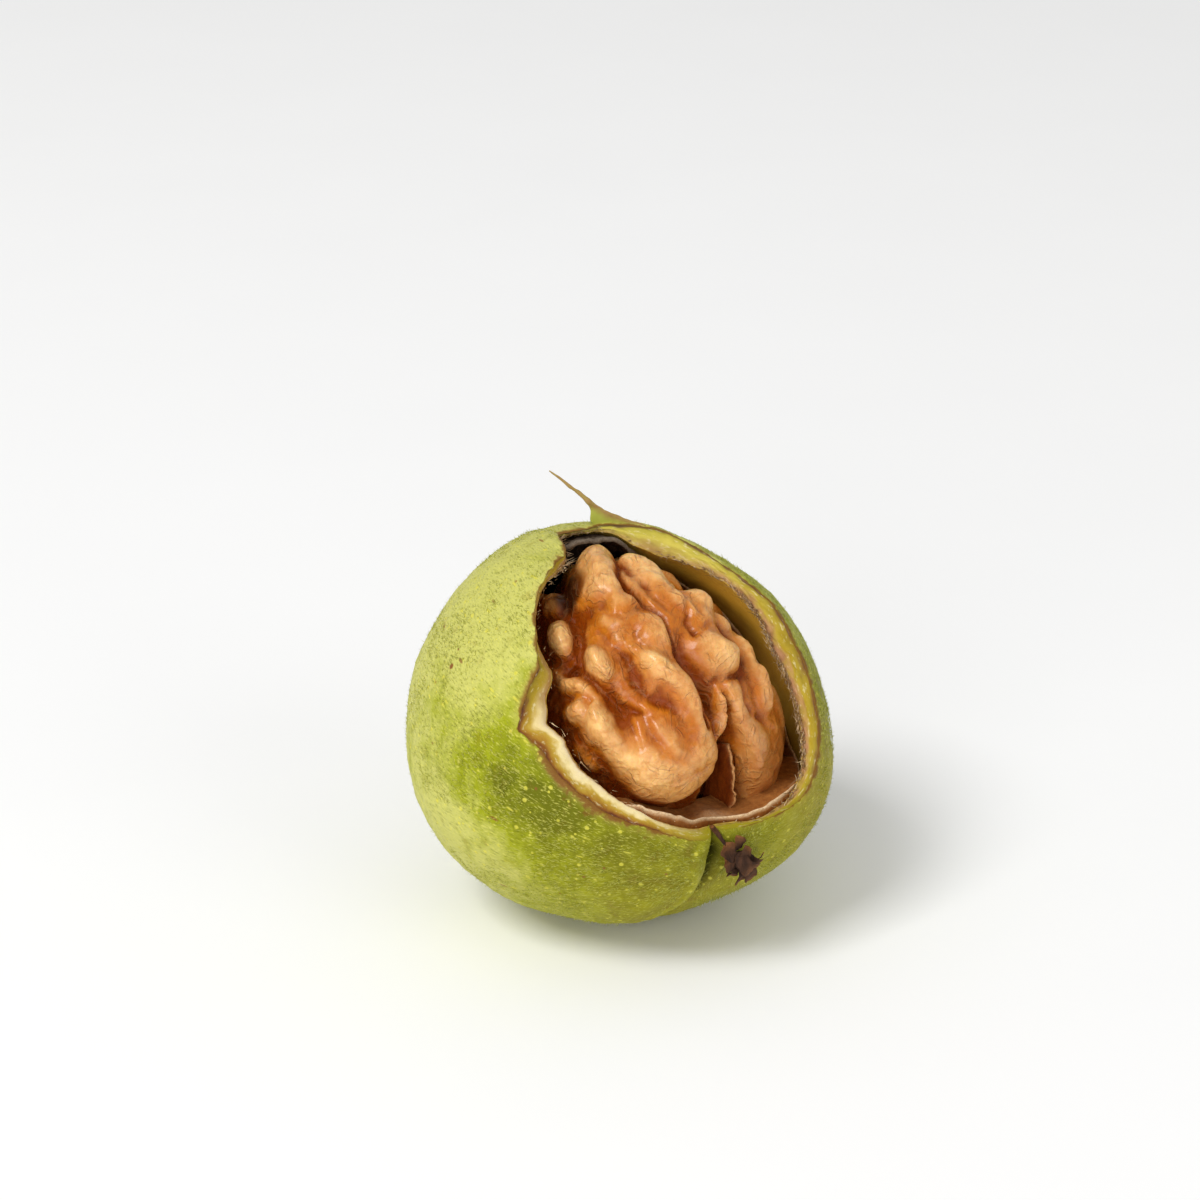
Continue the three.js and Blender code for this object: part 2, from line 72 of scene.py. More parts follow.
# Broad swellings and flats of the husk: azimuth, elevation, height.
SWELLS = (
    (-158, -29, 0.65),
    (140, 66, 1.5),
    (25, 57, -1.25),
    (-1, 16, -0.8),
    (-17, -20, 1.7),
    (-42, -48, -0.5),
    (-100, -60, -0.5),
)
MOUTH_BEARING = (-70, 36)
TIP_BEARING = (-55.2, -17.6)
STALK_BEARING = (124.8, 17.6)

# The torn rim: phi, theta of the outer edge, degrees the inner edge reaches further in,
# wall thickness, lift of the edge.
RIM = np.array((
    (0, 47, 0, 1.3, 0),
    (8, 48.5, 0, 1.3, 0),
    (19, 51.5, 0, 1.7, 0),
    (28, 54.5, 0, 2.0, 0),
    (38, 54.5, 0, 2.1, 0),
    (46, 54, 0, 2.5, 0),
    (56, 52.5, 0, 3.0, 0),
    (71, 51.8, 0, 3.3, 0),
    (86, 50.5, 0, 3.5, 0),
    (97, 54, 0, 2.9, 0),
    (106, 56, 0, 2.5, 0),
    (115, 59, 0, 2.2, 0),
    (125, 63, 0, 2.3, 0),
    (133, 67.5, 0, 2.8, 0),
    (142, 70, 0, 3.4, 0),
    (151, 71, 0, 2.9, -0.2),
    (157, 73, 0, 1.6, -0.6),
    (161, 76, 0, 1.1, -1.1),
    (166, 73, 0, 0.9, -1.4),
    (172, 72, 0, 0.9, -1.4),
    (176, 71, 0, 1.2, -1.3),
    (178, 66, 0, 1.4, -1.0),
    (180, 58.3, 0, 1.6, -0.9),
    (184, 54.8, 0.2, 1.8, -1.0),
    (189, 52.6, 0, 1.9, -0.5),
    (195, 50.2, -0.8, 1.9, 0),
    (203, 48.3, -0.9, 2.1, 0),
    (212, 44.8, -0.9, 2.3, 0),
    (222, 40.9, -0.6, 2.6, 0),
    (235, 37.5, 2.4, 3.0, 0),
    (241, 39.5, 4, 3.2, 0),
    (249, 42, 4.5, 3.4, 0),
    (255, 44.2, 6, 3.5, 0),
    (259, 46.1, 6.8, 3.6, 0),
    (263, 43.8, 6.6, 3.6, 0),
    (270, 41.6, 5.8, 3.6, 0),
    (284, 41.4, 4.6, 3.6, 0),
    (296, 40.7, 4, 3.5, 0),
    (306, 41, 3.6, 3.3, 0),
    (320, 40.8, 2.4, 2.8, 0),
    (334, 42, 1.2, 1.9, 0.2),
    (342, 43.6, 0.4, 1.3, 0.3),
    (346, 44.4, 0.2, 0.9, 0.3),
    (349.5, 45, 0, 0.7, 0.2),
    (351, 45.4, 0, 0.7, 0),
    (353, 45.8, 0, 0.8, 0),
    (356, 46.4, 0, 1.1, 0),
    (360, 47, 0, 1.3, 0),
))
# The look of the torn edge: phi, how cream its inner half is, how wide the browned line beside
# it is in mm, how much brown torn fibre lies on it, how lime its flesh is, how far the green of
# the skin spreads over it.
RIM_LOOK = np.array((
    (0, 0.1, 0, 0.2, 0, 0.8),
    (20, 0.1, 0.3, 0.4, 0, 0.6),
    (35, 0.1, 0.8, 0.9, 0, 0.15),
    (50, 0.1, 1.1, 1.0, 0, 0),
    (90, 0.1, 1.2, 1.0, 0, 0),
    (110, 0.05, 0.6, 0.9, 0.3, 0),
    (125, 0, 0.3, 0.6, 0.9, 0),
    (150, 0, 0.3, 0.3, 1, 0.1),
    (172, 0, 0.4, 0.6, 0.8, 0),
    (176, 0, 1.0, 1.0, 0.2, 0),
    (180, 0.1, 1.2, 1.0, 0, 0),
    (188, 0.1, 0.6, 0.6, 0, 0),
    (200, 0.1, 0.3, 0.3, 0.2, 0),
    (215, 0.1, 0.3, 0.2, 0.3, 0),
    (225, 0.1, 0.4, 0.2, 0.1, 0),
    (240, 0.1, 0.5, 0.2, 0, 0),
    (248, 0.3, 0.5, 0.15, 0, 0),
    (254, 0.75, 0.6, 0.15, 0, 0),
    (262, 1, 0.8, 0.1, 0, 0),
    (270, 1, 1.3, 0.1, 0, 0),
    (300, 1, 1.5, 0.1, 0, 0),
    (322, 0.95, 1.2, 0.1, 0, 0),
    (334, 0.6, 0.5, 0.1, 0.3, 0.1),
    (342, 0.45, 0, 0, 0.6, 0.4),
    (350, 0.1, 0, 0, 0.3, 0.8),
    (360, 0.1, 0, 0.2, 0, 0.8),
))

# The crease that runs on from the tear, past the tip, to the underside: theta, phi of its line.
CREASE_LINE = np.array((
    (46, 353),
    (53.8, 352.6),
    (57, 351),
    (60, 349.8),
    (65, 348.6),
    (70, 346.8),
    (77, 343.2),
    (82, 341.2),
    (112, 333),
))
CREASE_REACH = 60.0
CREASE_DEPTH = 2.3
CREASE_LEFT_WIDTH = 0.5
CREASE_RIGHT_WIDTHS = (6.0, 0.9)
CREASE_RIGHT_SHARE = 0.45
CREASE_INSIDE_WIDTH = 5.6
CREASE_LIP = 0.3
CREASE_LIP_AT = -4.5
CREASE_LIP_WIDTH = 3.5
CREASE_DEEP_TO = 70.0
CREASE_ENDS_AT = 112.0
TIP_MOUND_HEIGHT = 0.9
TIP_MOUND_WIDTH = 2.6
STALK_SCAR_RADIUS = 2.6
# Rows of points on the inner wall, across the torn face and on the skin.
INNER_ROWS = 32
TORN_ROWS = 16
SKIN_ROWS = 86

GAP = 0.35
SHELL_WALL = 0.9
# How far the shell leans inwards at the bottom: phi, half width in degrees, and mm.
SHELL_LEAN = (355, 20, 0.9)
# The papery floor: from which phi to which it leaves the rim, the radius that it sinks to, and
# its thickness.
FLOOR_TURNS = (298, 412)
FLOOR_RADIUS = 16.8
FLOOR_THICKNESS = 0.18
# How far up the thin shell still stands round the kernel: phi, theta of its rim.
SHELL_RIM = np.array((
    (0, 49),
    (8, 50),
    (14, 50.5),
    (20, 51.5),
    (28, 54),
    (34, 57),
    (40, 64),
    (48, 76),
    (56, 88),
    (70, 94),
    (95, 97),
    (120, 96),
    (132, 93),
    (140, 86),
    (147, 77),
    (152, 72),
    (158, 70),
    (164, 69),
    (172, 69),
    (178, 70),
    (190, 70),
    (210, 76),
    (235, 74),
    (255, 64),
    (275, 54),
    (295, 47),
    (308, 42),
    (320, 39.2),
    (337, 41),
    (350, 45.5),
    (360, 49),
))

# Folds of the kernel: phi, theta, half length, half width, turn of its length from theta
# towards phi, radius of its crest.
FOLDS = (
    (172, 57, 7.5, 3.0, 162, 23.9),
    (180, 59, 4.5, 1.2, 154, 21.2),
    (171, 47, 6.2, 1.5, 162, 23.0),
    (174, 34, 2.7, 1.5, 83, 21.9),
    (164, 21, 3.7, 2.6, 36, 22.2),
    (221, 25, 3.3, 1.9, 144, 21.9),
    (194, 23, 4.2, 1.8, 174, 20.9),
    (178, 6, 4.1, 2.2, 26, 22.5),
    (26, 9, 6.2, 2.2, 153, 22.2),
    (258, 31, 2.4, 2.1, 142, 21.0),
    (272, 25, 3.3, 1.9, 92, 22.0),
    (295, 27, 3.9, 2.1, 71, 21.9),
    (336, 26, 6.6, 5.9, 80, 22.8),
    (2, 23, 5.4, 3.2, 10, 22.4),
    (326, 12, 4.7, 2.6, 60, 21.6),
    (154, 54, 5.4, 2.2, 35, 22.9),
    (161, 37, 5.8, 1.0, 10, 21.6),
    (143, 38, 3.9, 1.5, 36, 22.0),
    (127, 40, 2.8, 2.4, 85, 22.5),
    (108, 40, 2.4, 1.3, 101, 21.4),
    (122, 21, 4.6, 1.8, 53, 20.9),
    (93, 24, 4.3, 3.1, 141, 22.7),
    (88, 42, 2.9, 1.2, 67, 21.6),
    (66, 40, 3.8, 1.5, 106, 22.4),
    (62, 54, 3.4, 1.6, 118, 22.6),
    (57, 27, 4.4, 2.2, 129, 21.2),
    (41, 54, 8.2, 5.0, 118, 22.6),
    (193, 61, 3.0, 1.8, 152, 20.4),
    (208, 44, 3.4, 2.3, 150, 20.7),
    (241, 29, 4.0, 1.3, 149, 20.0),
    (286, 37, 3.3, 1.8, 92, 19.4),
)
# Fuller parts of the lobes, which fill between the folds, in the same columns.
FULLNESS = (
    (178, 48, 4.6, 2.9, 166, 22.4),
    (182, 29, 3.4, 3, 6, 22),
    (163, 18, 5, 3, 23, 22.3),
    (56, 4, 5, 2.6, 126, 22.4),
    (234, 12, 4.5, 3, 138, 20.9),
    (328, 21, 6, 5.5, 38, 22.6),
    (276, 27, 3.6, 2.4, 86, 21.9),
    (243, 28, 4.2, 1.6, 147, 20.6),
    (154, 45, 5, 2.2, 15, 22.3),
    (139, 33, 3.4, 2.6, 35, 22.2),
    (120, 33, 3.6, 3.2, 81, 22.3),
    (93, 24, 3.6, 3.4, 91, 22.5),
    (60, 25, 3.4, 2.6, 107, 21.8),
    (66, 40, 4, 1.8, 102, 22.2),
    (35, 41, 6, 3.8, 150, 22.6),
    (170, 47, 6, 3, 171, 22.2),
    (187, 24, 7, 5, 166, 21.5),
    (296, 4, 7, 5, 67, 20.9),
    (143, 33, 7, 4.5, 32, 22.2),
    (104, 25, 6, 4.5, 76, 22),
    (51, 31, 7, 4.5, 126, 22),
)
# Ridges and creases of the kernel: half width, then phi, theta and height at points along it.
KERNEL_LINES = (
    # Ridges of the left lobe.
    (1.4, ((171, 33, 0.45), (152, 24, 0.55), (129, 14, 0.5), (49, 11, 0.45), (19, 20, 0.3))),
    (1.25, ((188, 11, 0.9), (172, 5, 0.9), (72, 3, 0.5), (39, 9, 0.3))),
    (1.1, ((218, 28, 0.9), (229, 21, 1.1))),
    (1.1, ((255, 31, 0.8), (259, 30, 0.7))),
    (1.15, ((263, 24, 0.8), (276, 25, 0.9), (294, 26, 0.5), (307, 27, 0.4))),
    (2.2, ((326, 31, 0.3), (353, 29, 0.4))),
    (1.5, ((163, 78, 0.3), (180, 42, 0.4))),
    (1, ((237, 36, 0.5), (243, 28, 0.5), (250, 24, 0.4))),
    # Ridges of the right lobe.
    (1.2, ((127, 44, 0.5), (122, 43, 0.5))),
    (0.7, ((136, 34, 0.4), (129, 29, 0.4))),
    (1.6, ((106, 23, 0.6), (94, 29, 0.6))),
    (0.9, ((76, 41, 0.5), (61, 42, 0.5))),
    (2.2, ((42, 39, 0.2), (30, 51, 0.4))),
    # The groove between the lobes.
    (
        0.45,
        (
            (160, 66, -1.1),
            (166, 47, -1.5),
            (166, 38, -1.5),
            (162, 32, -1.1),
            (152, 24, -0.8),
            (141, 16, -1),
            (113, 9, -1.6),
            (43, 12, -2.1),
            (23, 19, -2.4),
        ),
    ),
    # Creases of the right lobe.
    (0.35, ((161, 55, -0.25), (157, 36, -0.3), (150, 30, -0.2))),
    (0.45, ((145, 51, -0.05), (141, 42, -0.4), (136, 36, -0.45), (133, 25, -0.4), (122, 22, -0.45))),
    (0.45, ((122, 22, -0.3), (115, 29, -0.45), (109, 36, -0.3))),
    (0.9, ((129, 14, -0.42), (92, 11, -0.66), (69, 14, -0.78), (43, 18, -0.78))),
    (0.5, ((81, 16, -0.25), (71, 22, -0.5), (76, 31, -0.5), (86, 38, -0.35))),
    (0.5, ((75, 31, -0.35), (61, 30, -0.5), (51, 35, -0.35), (53, 46, -0.15))),
    (0.35, ((58, 32, -0.2), (50, 40, -0.25), (47, 49, -0.2))),
    (0.4, ((34, 40, -0.1), (34, 57, -0.2))),
    # Hollows and creases of the left lobe.
    (1, ((176, 57, -0.35), (181, 45, -0.3))),
    (0.6, ((186, 36, -0.35), (186, 31, -0.42), (180, 28, -0.35), (172, 29, -0.14))),
    (0.6, ((191, 43, -0.28), (197, 32, -0.42), (202, 24, -0.49), (204, 17, -0.56))),
    (0.95, ((205, 17, -0.6), (233, 11, -1), (263, 8, -0.9), (321, 7, -0.42))),
    (0.55, ((233, 28, -0.77), (247, 22, -0.84), (261, 17, -0.77), (283, 13, -0.49), (307, 11, -0.28))),
    (0.75, ((289, 13, -0.68), (312, 17, -0.83), (330, 21, -0.68), (344, 26, -0.3))),
    (0.5, ((268, 17, -0.42), (293, 18, -0.49), (308, 22, -0.28))),
    (0.4, ((255, 26, -0.4), (266, 29, -0.35), (275, 31, -0.2))),
    (0.9, ((195, 46, -1.2), (206, 37.5, -1.3), (222, 31.5, -1.5), (229, 35, -1.3))),
)
# Small folds of the husk beside the crease, in the same way.
HUSK_LINES = (
    (
        0.42,
        (
            (352.6, 53.8, -0.6),
            (351, 57, -0.9),
            (349.8, 60, -1.1),
            (348.6, 65, -1.2),
            (346.8, 70, -1.2),
            (343.2, 77, -1.0),
            (341.2, 82, -0.7),
            (337, 95, -0.2),
        ),
    ),
    (0.9, ((357, 56, 0.5), (353.8, 60, 0.6), (352, 65, 0.5), (350, 70, 0.35), (346.5, 77, 0.2))),
    (1.2, ((352, 47, -0.5), (350.4, 54, -0.9))),
    (0.9, ((346, 46, 0.3), (344.2, 50, 0.5), (345, 60, 0.6), (343.6, 69, 0.5), (338, 82, 0.3))),
)
HIDDEN_FOLDS = 56
HIDDEN_FROM = 78.0
HIDDEN_SIZE = (4.6, 2.5, 22.6)
KERNEL_CORE = 17.4
FOLD_RISE = 0.9
FOLD_RISE_MOST = 2.6
FOLD_SIDE = 1.3
FOLD_SHARPNESS = 1.7
FOLD_ROUNDNESS = 0.8
LIMIT_SHARPNESS = 2.0
# Taken off radii before they go into an exponential.
MIDDLE_RADIUS = 20

PARTITION_NORMAL = np.array([0.765, 0.643, 0.03]) / np.linalg.norm([0.765, 0.643, 0.03])
PARTITION_OFFSET = 1.56
PARTITION_ANGLES = (-8.0, 27.0)
PARTITION_RADII = (15.6, 20.9)

# The strand of torn skin: x, y, z, half width, and how far its green web hangs below it.
STRAND = np.array((
    (3.4, 8.9, 23.5, 0.25, 1.2),
    (1.2, 9.3, 24.1, 0.28, 1.6),
    (-1.2, 9.7, 24.9, 0.3, 2.1),
    (-2.5, 9.9, 25.6, 0.32, 1.9),
    (-3.1, 9.95, 26.0, 0.36, 0.5),
    (-3.7, 10.0, 26.45, 0.36, 0),
    (-4.9, 10.6, 27.4, 0.3, 0),
    (-6.2, 11.1, 28.2, 0.24, 0),
    (-7.6, 11.9, 29.1, 0.16, 0),
    (-8.9, 12.8, 29.7, 0.07, 0),
))

# ------------------------------------------------------------------ directions


def bearing(azimuth, elevation):
    """The unit direction at that azimuth and elevation."""
    a, e = np.radians(azimuth), np.radians(elevation)
    return np.array([np.cos(e) * np.cos(a), np.cos(e) * np.sin(a), np.sin(e)])


def unit(v):
    """Vectors divided by their lengths."""
    return v / np.linalg.norm(v, axis=-1, keepdims=True)


def square_to(a, b):
    """The unit part of a that is square to b."""
    return unit(a - np.dot(a, b) * b)


MOUTH = bearing(*MOUTH_BEARING)
TIP = bearing(*TIP_BEARING)
STALK = bearing(*STALK_BEARING)
MOUTH_TO_TIP = square_to(TIP, MOUTH)
MOUTH_TO_RIGHT = np.cross(MOUTH, MOUTH_TO_TIP)
PARTITION_TO_TIP = square_to(TIP, PARTITION_NORMAL)
PARTITION_TO_TOP = np.cross(PARTITION_TO_TIP, PARTITION_NORMAL)


def from_mouth(phi, theta):
    """Unit directions: the mouth's axis turned by theta away from itself, at the turn phi."""
    p, t = np.radians(phi)[..., None], np.radians(theta)[..., None]
    sideways = np.cos(p) * MOUTH_TO_TIP + np.sin(p) * MOUTH_TO_RIGHT
    return np.cos(t) * MOUTH + np.sin(t) * sideways


def mouth_angles(d):
    """phi and theta of unit directions."""
    phi = np.degrees(np.arctan2(d @ MOUTH_TO_RIGHT, d @ MOUTH_TO_TIP)) % 360
    return phi, np.degrees(angle_from(MOUTH, d))


def smoothstep(x, low, high):
    """0 below low, 1 above high, and 3s^2 - 2s^3 of the way s between them."""
    s = np.clip((x - low) / (high - low), 0, 1)
    return s * s * (3 - 2 * s)


def bell(x, width):
    """exp(-(x / width)^2), which is 1 at 0 and falls off on both sides."""
    return np.exp(-((x / width) ** 2))


def turn_from(start, phi):
    """The turn in degrees from one phi to another, from -180 to 180."""
    return (phi - start + 180) % 360 - 180


def between(x, start, full, fades, ends):
    """0 below start, 1 from full to fades, 0 above ends, and smooth steps between them."""
    return smoothstep(x, start, full) * (1 - smoothstep(x, fades, ends))


def angle_from(axis, d):
    """The angle in radians between unit directions and an axis."""
    return np.arccos(np.clip(d @ axis, -1, 1))


def evenly_round(count):
    """That many angles in radians, evenly round a circle."""
    return np.arange(count) * 2 * np.pi / count


def softened(table, spread):
    """A table by angle, resampled each quarter degree and blurred by a Gaussian of that spread."""
    step = 0.25
    angles = np.arange(0, 360, step)
    lags = np.arange(-16, 17)
    weights = np.exp(-((lags * step / spread) ** 2) / 2)
    columns = [angles]
    for column in table.T[1:]:
        values = np.interp(angles, table[:, 0], column)
        spread_out = sum(w * np.roll(values, lag) for w, lag in zip(weights, lags))
        columns.append(spread_out / weights.sum())
    return np.array(columns).T


def along(table, angle, column):
    """The value in a table's column at an angle, between its rows."""
    return np.interp(angle % 360, table[:, 0], table[:, column], period=360)


def line_relief(points, radius, lines):
    """Heights h exp(-(s/w)^2) along lines on a sphere, where s is the distance to the line.

    The height at a point is that at the nearest place of each line, added up over the lines.
    """
    total = np.zeros(points.shape[:-1])
    for width, knots in lines:
        phi, theta, heights = np.array(knots, float).T
        ends = radius * from_mouth(phi, theta)
        nearest = np.full(points.shape[:-1], 1e9)
        height = np.zeros(points.shape[:-1])
        for a, b, h0, h1 in zip(ends[:-1], ends[1:], heights[:-1], heights[1:]):
            share = np.clip(((points - a) @ (b - a)) / ((b - a) @ (b - a)), 0, 1)
            away = np.linalg.norm(points - a - share[..., None] * (b - a), axis=-1)
            height = np.where(away < nearest, h0 + (h1 - h0) * share, height)
            nearest = np.minimum(nearest, away)
        total += height * bell(nearest, width)
    return total


# ------------------------------------------------------------------ noise


def lattice_value(corner, seed):
    """A fixed random value from -1 to 1 for each whole-numbered corner of space."""
    x, y, z = (corner[..., i].astype(np.int64) for i in range(3))
    h = (x * 374761393 + y * 668265263 + z * 1440662683 + seed * 1274126177) & 0xFFFFFFFF
    h = ((h ^ (h >> 13)) * 1274126177) & 0xFFFFFFFF
    h = ((h ^ (h >> 16)) * 374761393) & 0xFFFFFFFF
    return ((h >> 8) & 0xFFFF) / 32767.5 - 1


def noise(points, size, seed):
    """Smooth noise: corner values blended over cubes of that size by a smoothstep each way."""
    p = points / size
    base = np.floor(p)
    f = p - base
    f = f * f * (3 - 2 * f)
    total = np.zeros(points.shape[:-1])
    for corner in np.ndindex(2, 2, 2):
        c = np.array(corner)
        weight = np.prod(np.where(c, f, 1 - f), axis=-1)
        total += weight * lattice_value(base + c, SEED + seed)
    return total


def noises(points, *layers):
    """A sum of noises, each given as its height, its size and its seed."""
    return sum(height * noise(points, size, seed) for height, size, seed in layers)


def fractal(points, size, octaves, seed):
    """A sum of noises, each half the size and half the height of the one before."""
    return sum(noise(points, size / 2**i, seed + i) / 2**i for i in range(octaves))


def round_noise(phi, size, octaves, seed):
    """Fractal noise round a circle, so that it closes: size is in degrees."""
    p = np.radians(phi)
    # The circle's radius makes a degree of turn one unit long.
    circle = np.stack([np.cos(p), np.sin(p), np.zeros_like(p)], -1) * 57.3
    return fractal(circle, size, octaves, seed)


# ------------------------------------------------------------------ the husk's surfaces

FINE_RIM = softened(RIM, 1.0)
SWELL_LIST = [(bearing(azimuth, elevation), height) for azimuth, elevation, height in SWELLS]


def husk_body(d):
    """An ellipsoid, plus swellings h exp(k (d.c - 1)), plus the lift of the torn edge."""
    radius = 1 / np.linalg.norm(d / HUSK_SEMI_AXES, axis=-1)
    for centre, height in SWELL_LIST:
        radius = radius + height * np.exp(SWELL_SHARPNESS * (d @ centre - 1))
    phi, theta = mouth_angles(d)
    from_rim = np.maximum(0, theta - along(FINE_RIM, phi, 1))
    return radius + along(FINE_RIM, phi, 4) * np.exp(-from_rim / LIFT_BLEND)


def crease_phi(theta):
    """The turn of the crease's line at theta, between the rows of its table."""
    return np.interp(theta, CREASE_LINE[:, 0], CREASE_LINE[:, 1])


def from_crease(d):
    """Distance across the crease, positive to its right, and its depth at a direction."""
    phi, theta = mouth_angles(d)
    turn = turn_from(crease_phi(theta), phi)
    across = np.radians(turn) * HUSK_SEMI_AXES[0] * np.sin(np.radians(theta))
    return across, CREASE_DEPTH * (1 - smoothstep(theta, CREASE_DEEP_TO, CREASE_ENDS_AT))


def husk_outer(d):
    """The body, less a valley at the crease, plus the valley's lip, small folds and a tip mound.

    The valley is exp(-|s|/w) to the left, and to the right the sum of a wide and a narrow one.
    """
    across, depth = from_crease(d)
    left = np.exp(-np.abs(across) / CREASE_LEFT_WIDTH)
    wide, narrow = (np.exp(-np.abs(across) / width) for width in CREASE_RIGHT_WIDTHS)
    right = CREASE_RIGHT_SHARE * wide + (1 - CREASE_RIGHT_SHARE) * narrow
    valley = np.where(across < 0, left, right)
    lip = CREASE_LIP * bell(across - CREASE_LIP_AT, CREASE_LIP_WIDTH)
    body = husk_body(d)
    from_tip = body * angle_from(TIP, d)
    mound = TIP_MOUND_HEIGHT * bell(from_tip, TIP_MOUND_WIDTH)
    folds = line_relief(SKIN_RADIUS * d, SKIN_RADIUS, HUSK_LINES)
    return body + mound + folds + depth * (lip - valley)


def husk_inner(d):
    """The body less the wall, which is thin at the rim, and less a wide fold at the crease."""
    phi, theta = mouth_angles(d)
    rim = along(FINE_RIM, phi, 1) - along(FINE_RIM, phi, 2)
    share = smoothstep(theta, rim, rim + WALL_BLEND)
    wall = along(FINE_RIM, phi, 3) * (1 - share) + HUSK_WALL * share
    across, depth = from_crease(d)
    return husk_body(d) - depth * bell(across, CREASE_INSIDE_WIDTH) - wall


def drifted(phi, theta):
    """phi turned with the crease near it, so that a column of points follows it."""
    start = CREASE_LINE[0, 1]
    near = np.maximum(0, 1 - np.abs(turn_from(start, phi)) / CREASE_REACH)
    return phi + near * (crease_phi(theta) - start)


def skin_grain(d):
    """A place in mm, squeezed to 0.35 along the grain, which runs from the tip to the stalk."""
    across = square_to(MOUTH_TO_RIGHT, TIP)
    aside = np.stack([d @ across, d @ np.cross(across, TIP)], -1)
    length = np.linalg.norm(aside, axis=-1, keepdims=True)
    run = SKIN_RADIUS * np.arctan2(length, (d @ TIP)[..., None])
    return np.concatenate([SKIN_RADIUS * aside / np.maximum(length, 1e-6), 0.35 * run], -1)


# ------------------------------------------------------------------ the kernel's surface


def fold_frames():
    """Each fold as its centre, its length and width directions, sizes and crest radius."""
    rows = [*FOLDS, *FULLNESS]
    golden = 180 * (3 - 5**0.5)
    for i in range(HIDDEN_FOLDS):
        theta = np.degrees(np.arccos(1 - 2 * (i + 0.5) / HIDDEN_FOLDS))
        length = HIDDEN_SIZE[0] * (0.8 + 0.4 * np.sin(2.1 * i) ** 2)
        turn = 90 + 70 * np.sin(1.7 * i)
        if theta > HIDDEN_FROM:
            rows.append((i * golden % 360, theta, length, HIDDEN_SIZE[1], turn, HIDDEN_SIZE[2]))
    for phi, theta, length, width, turn, crest in rows:
        centre = from_mouth(phi, theta)
        away = square_to(-MOUTH, centre)
        t = np.radians(turn)
        direction = np.cos(t) * away + np.sin(t) * np.cross(centre, away)
        yield centre, direction, np.cross(centre, direction), length, width, crest


def kernel_limit(d):
    """Just inside the shell, and free to stand out in the mouth."""
    phi, theta = mouth_angles(d)
    reach = np.maximum(0, along(FINE_RIM, phi, 2))
    rim = np.minimum(along(FINE_RIM, phi, 1) - reach, 90)
    return husk_inner(d) - 2 * GAP - SHELL_WALL + 0.9 * np.maximum(0, rim - 4 - theta)


def kernel_radius(d):
    """A smooth maximum, log(sum exp(k r)) / k, over the folds and the core.

    A fold is rise (1 - u^2)^n over its length and width, with a straight slope below its rim.
    """
    k = FOLD_SHARPNESS
    total = np.exp(k * (KERNEL_CORE - MIDDLE_RADIUS)) * np.ones(d.shape[:-1])
    for centre, direction, across, length, width, crest in fold_frames():
        u = np.hypot((d @ direction) * crest / length, (d @ across) * crest / width)
        rise = min(FOLD_RISE * width, FOLD_RISE_MOST)
        inside = rise * (1 - np.minimum(u, 1) ** 2) ** FOLD_ROUNDNESS
        dome = crest - rise + np.where(u < 1, inside, FOLD_SIDE * width * (1 - u))
        total += np.where(d @ centre > 0.5, np.exp(k * (dome - MIDDLE_RADIUS)), 0)
    return MIDDLE_RADIUS + np.log(total) / k


def held_within(radius, limit):
    """A smooth minimum, -log(sum exp(-k r)) / k, of a radius and the most that it may be."""
    k = LIMIT_SHARPNESS
    total = sum(np.exp(-k * (r - MIDDLE_RADIUS)) for r in (radius, limit))
    return MIDDLE_RADIUS - np.log(total) / k


# ------------------------------------------------------------------ meshes


def collection():
    """The collection that holds the walnut's pieces."""
    found = bpy.data.collections.get("Walnut")
    if found is None:
        found = bpy.data.collections.new("Walnut")
        bpy.context.scene.collection.children.link(found)
    return found


def add_object(name, data):
    """A new object that holds that mesh, light or camera, in the walnut's collection."""
    made = bpy.data.objects.new(name, data)
    collection().objects.link(made)
    return made


def make_piece(name, points, faces, material, replaces=None, values=None):
    """A smooth mesh object from points in mm about the husk's centre, riding on the body.

    A face is four point numbers, and a triangle names one of its points twice.
    """
    polygons = [list(dict.fromkeys(face)) for face in faces.tolist()]
    mesh = bpy.data.meshes.new(name)
    mesh.from_pydata((points + HUSK_CENTRE) * MM, [], polygons)
    mesh.shade_smooth()
    for key, value in (values or {}).items():
        made = mesh.attributes.new(key, "FLOAT", "POINT")
        made.data.foreach_set("value", np.broadcast_to(value, len(points)).astype(np.float32))
    mesh.materials.append(material)
    mesh.validate()
    piece = add_object(name, mesh)
    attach(piece, BODY)
    if replaces:
        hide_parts(replaces)
    return piece


def skin_faces(rows, columns):
    """Faces of a closed skin: a pole, rows of points that close on themselves, and a pole.

    The points are numbered pole, then row by row, then pole.
    """
    index = 1 + np.arange(rows * columns).reshape(rows, columns)
    after = np.roll(index, -1, axis=1)
    quads = np.stack([index[:-1], index[1:], after[1:], after[:-1]], -1).reshape(-1, 4)
    pole = 0 * index[0]
    last_pole = pole + rows * columns + 1
    first = np.stack([pole, index[0], after[0], pole], -1)
    last = np.stack([index[-1], last_pole, after[-1], index[-1]], -1)
    return np.concatenate([first, quads, last])


def closed_grid(grid, values):
    """A grid's points, faces and values, with the middles of its end rows as poles."""
    rows, columns = grid.shape[:2]
    poles = grid[0].mean(0)[None], grid[-1].mean(0)[None]
    points = np.concatenate([poles[0], grid.reshape(-1, 3), poles[1]])
    padded = {}
    for key, value in values.items():
        row = np.broadcast_to(value, (rows, columns)).reshape(-1)
        padded[key] = np.concatenate([row[:1], row, row[-1:]])
    return points, skin_faces(rows, columns), padded


def closed_skin(name, grid, material, replaces=None, values=None):
    """A piece from a grid of rows, closed at both ends, with its faces turned outwards."""
    points, faces, padded = closed_grid(grid, values or {})
    a, b, c, d = (points[faces[:, i]] for i in range(4))
    volume = np.sum(a * np.cross(b, c)) + np.sum(a * np.cross(c, d))
    if volume < 0:
        faces = faces[:, ::-1]
    return make_piece(name, points, faces, material, replaces, padded)


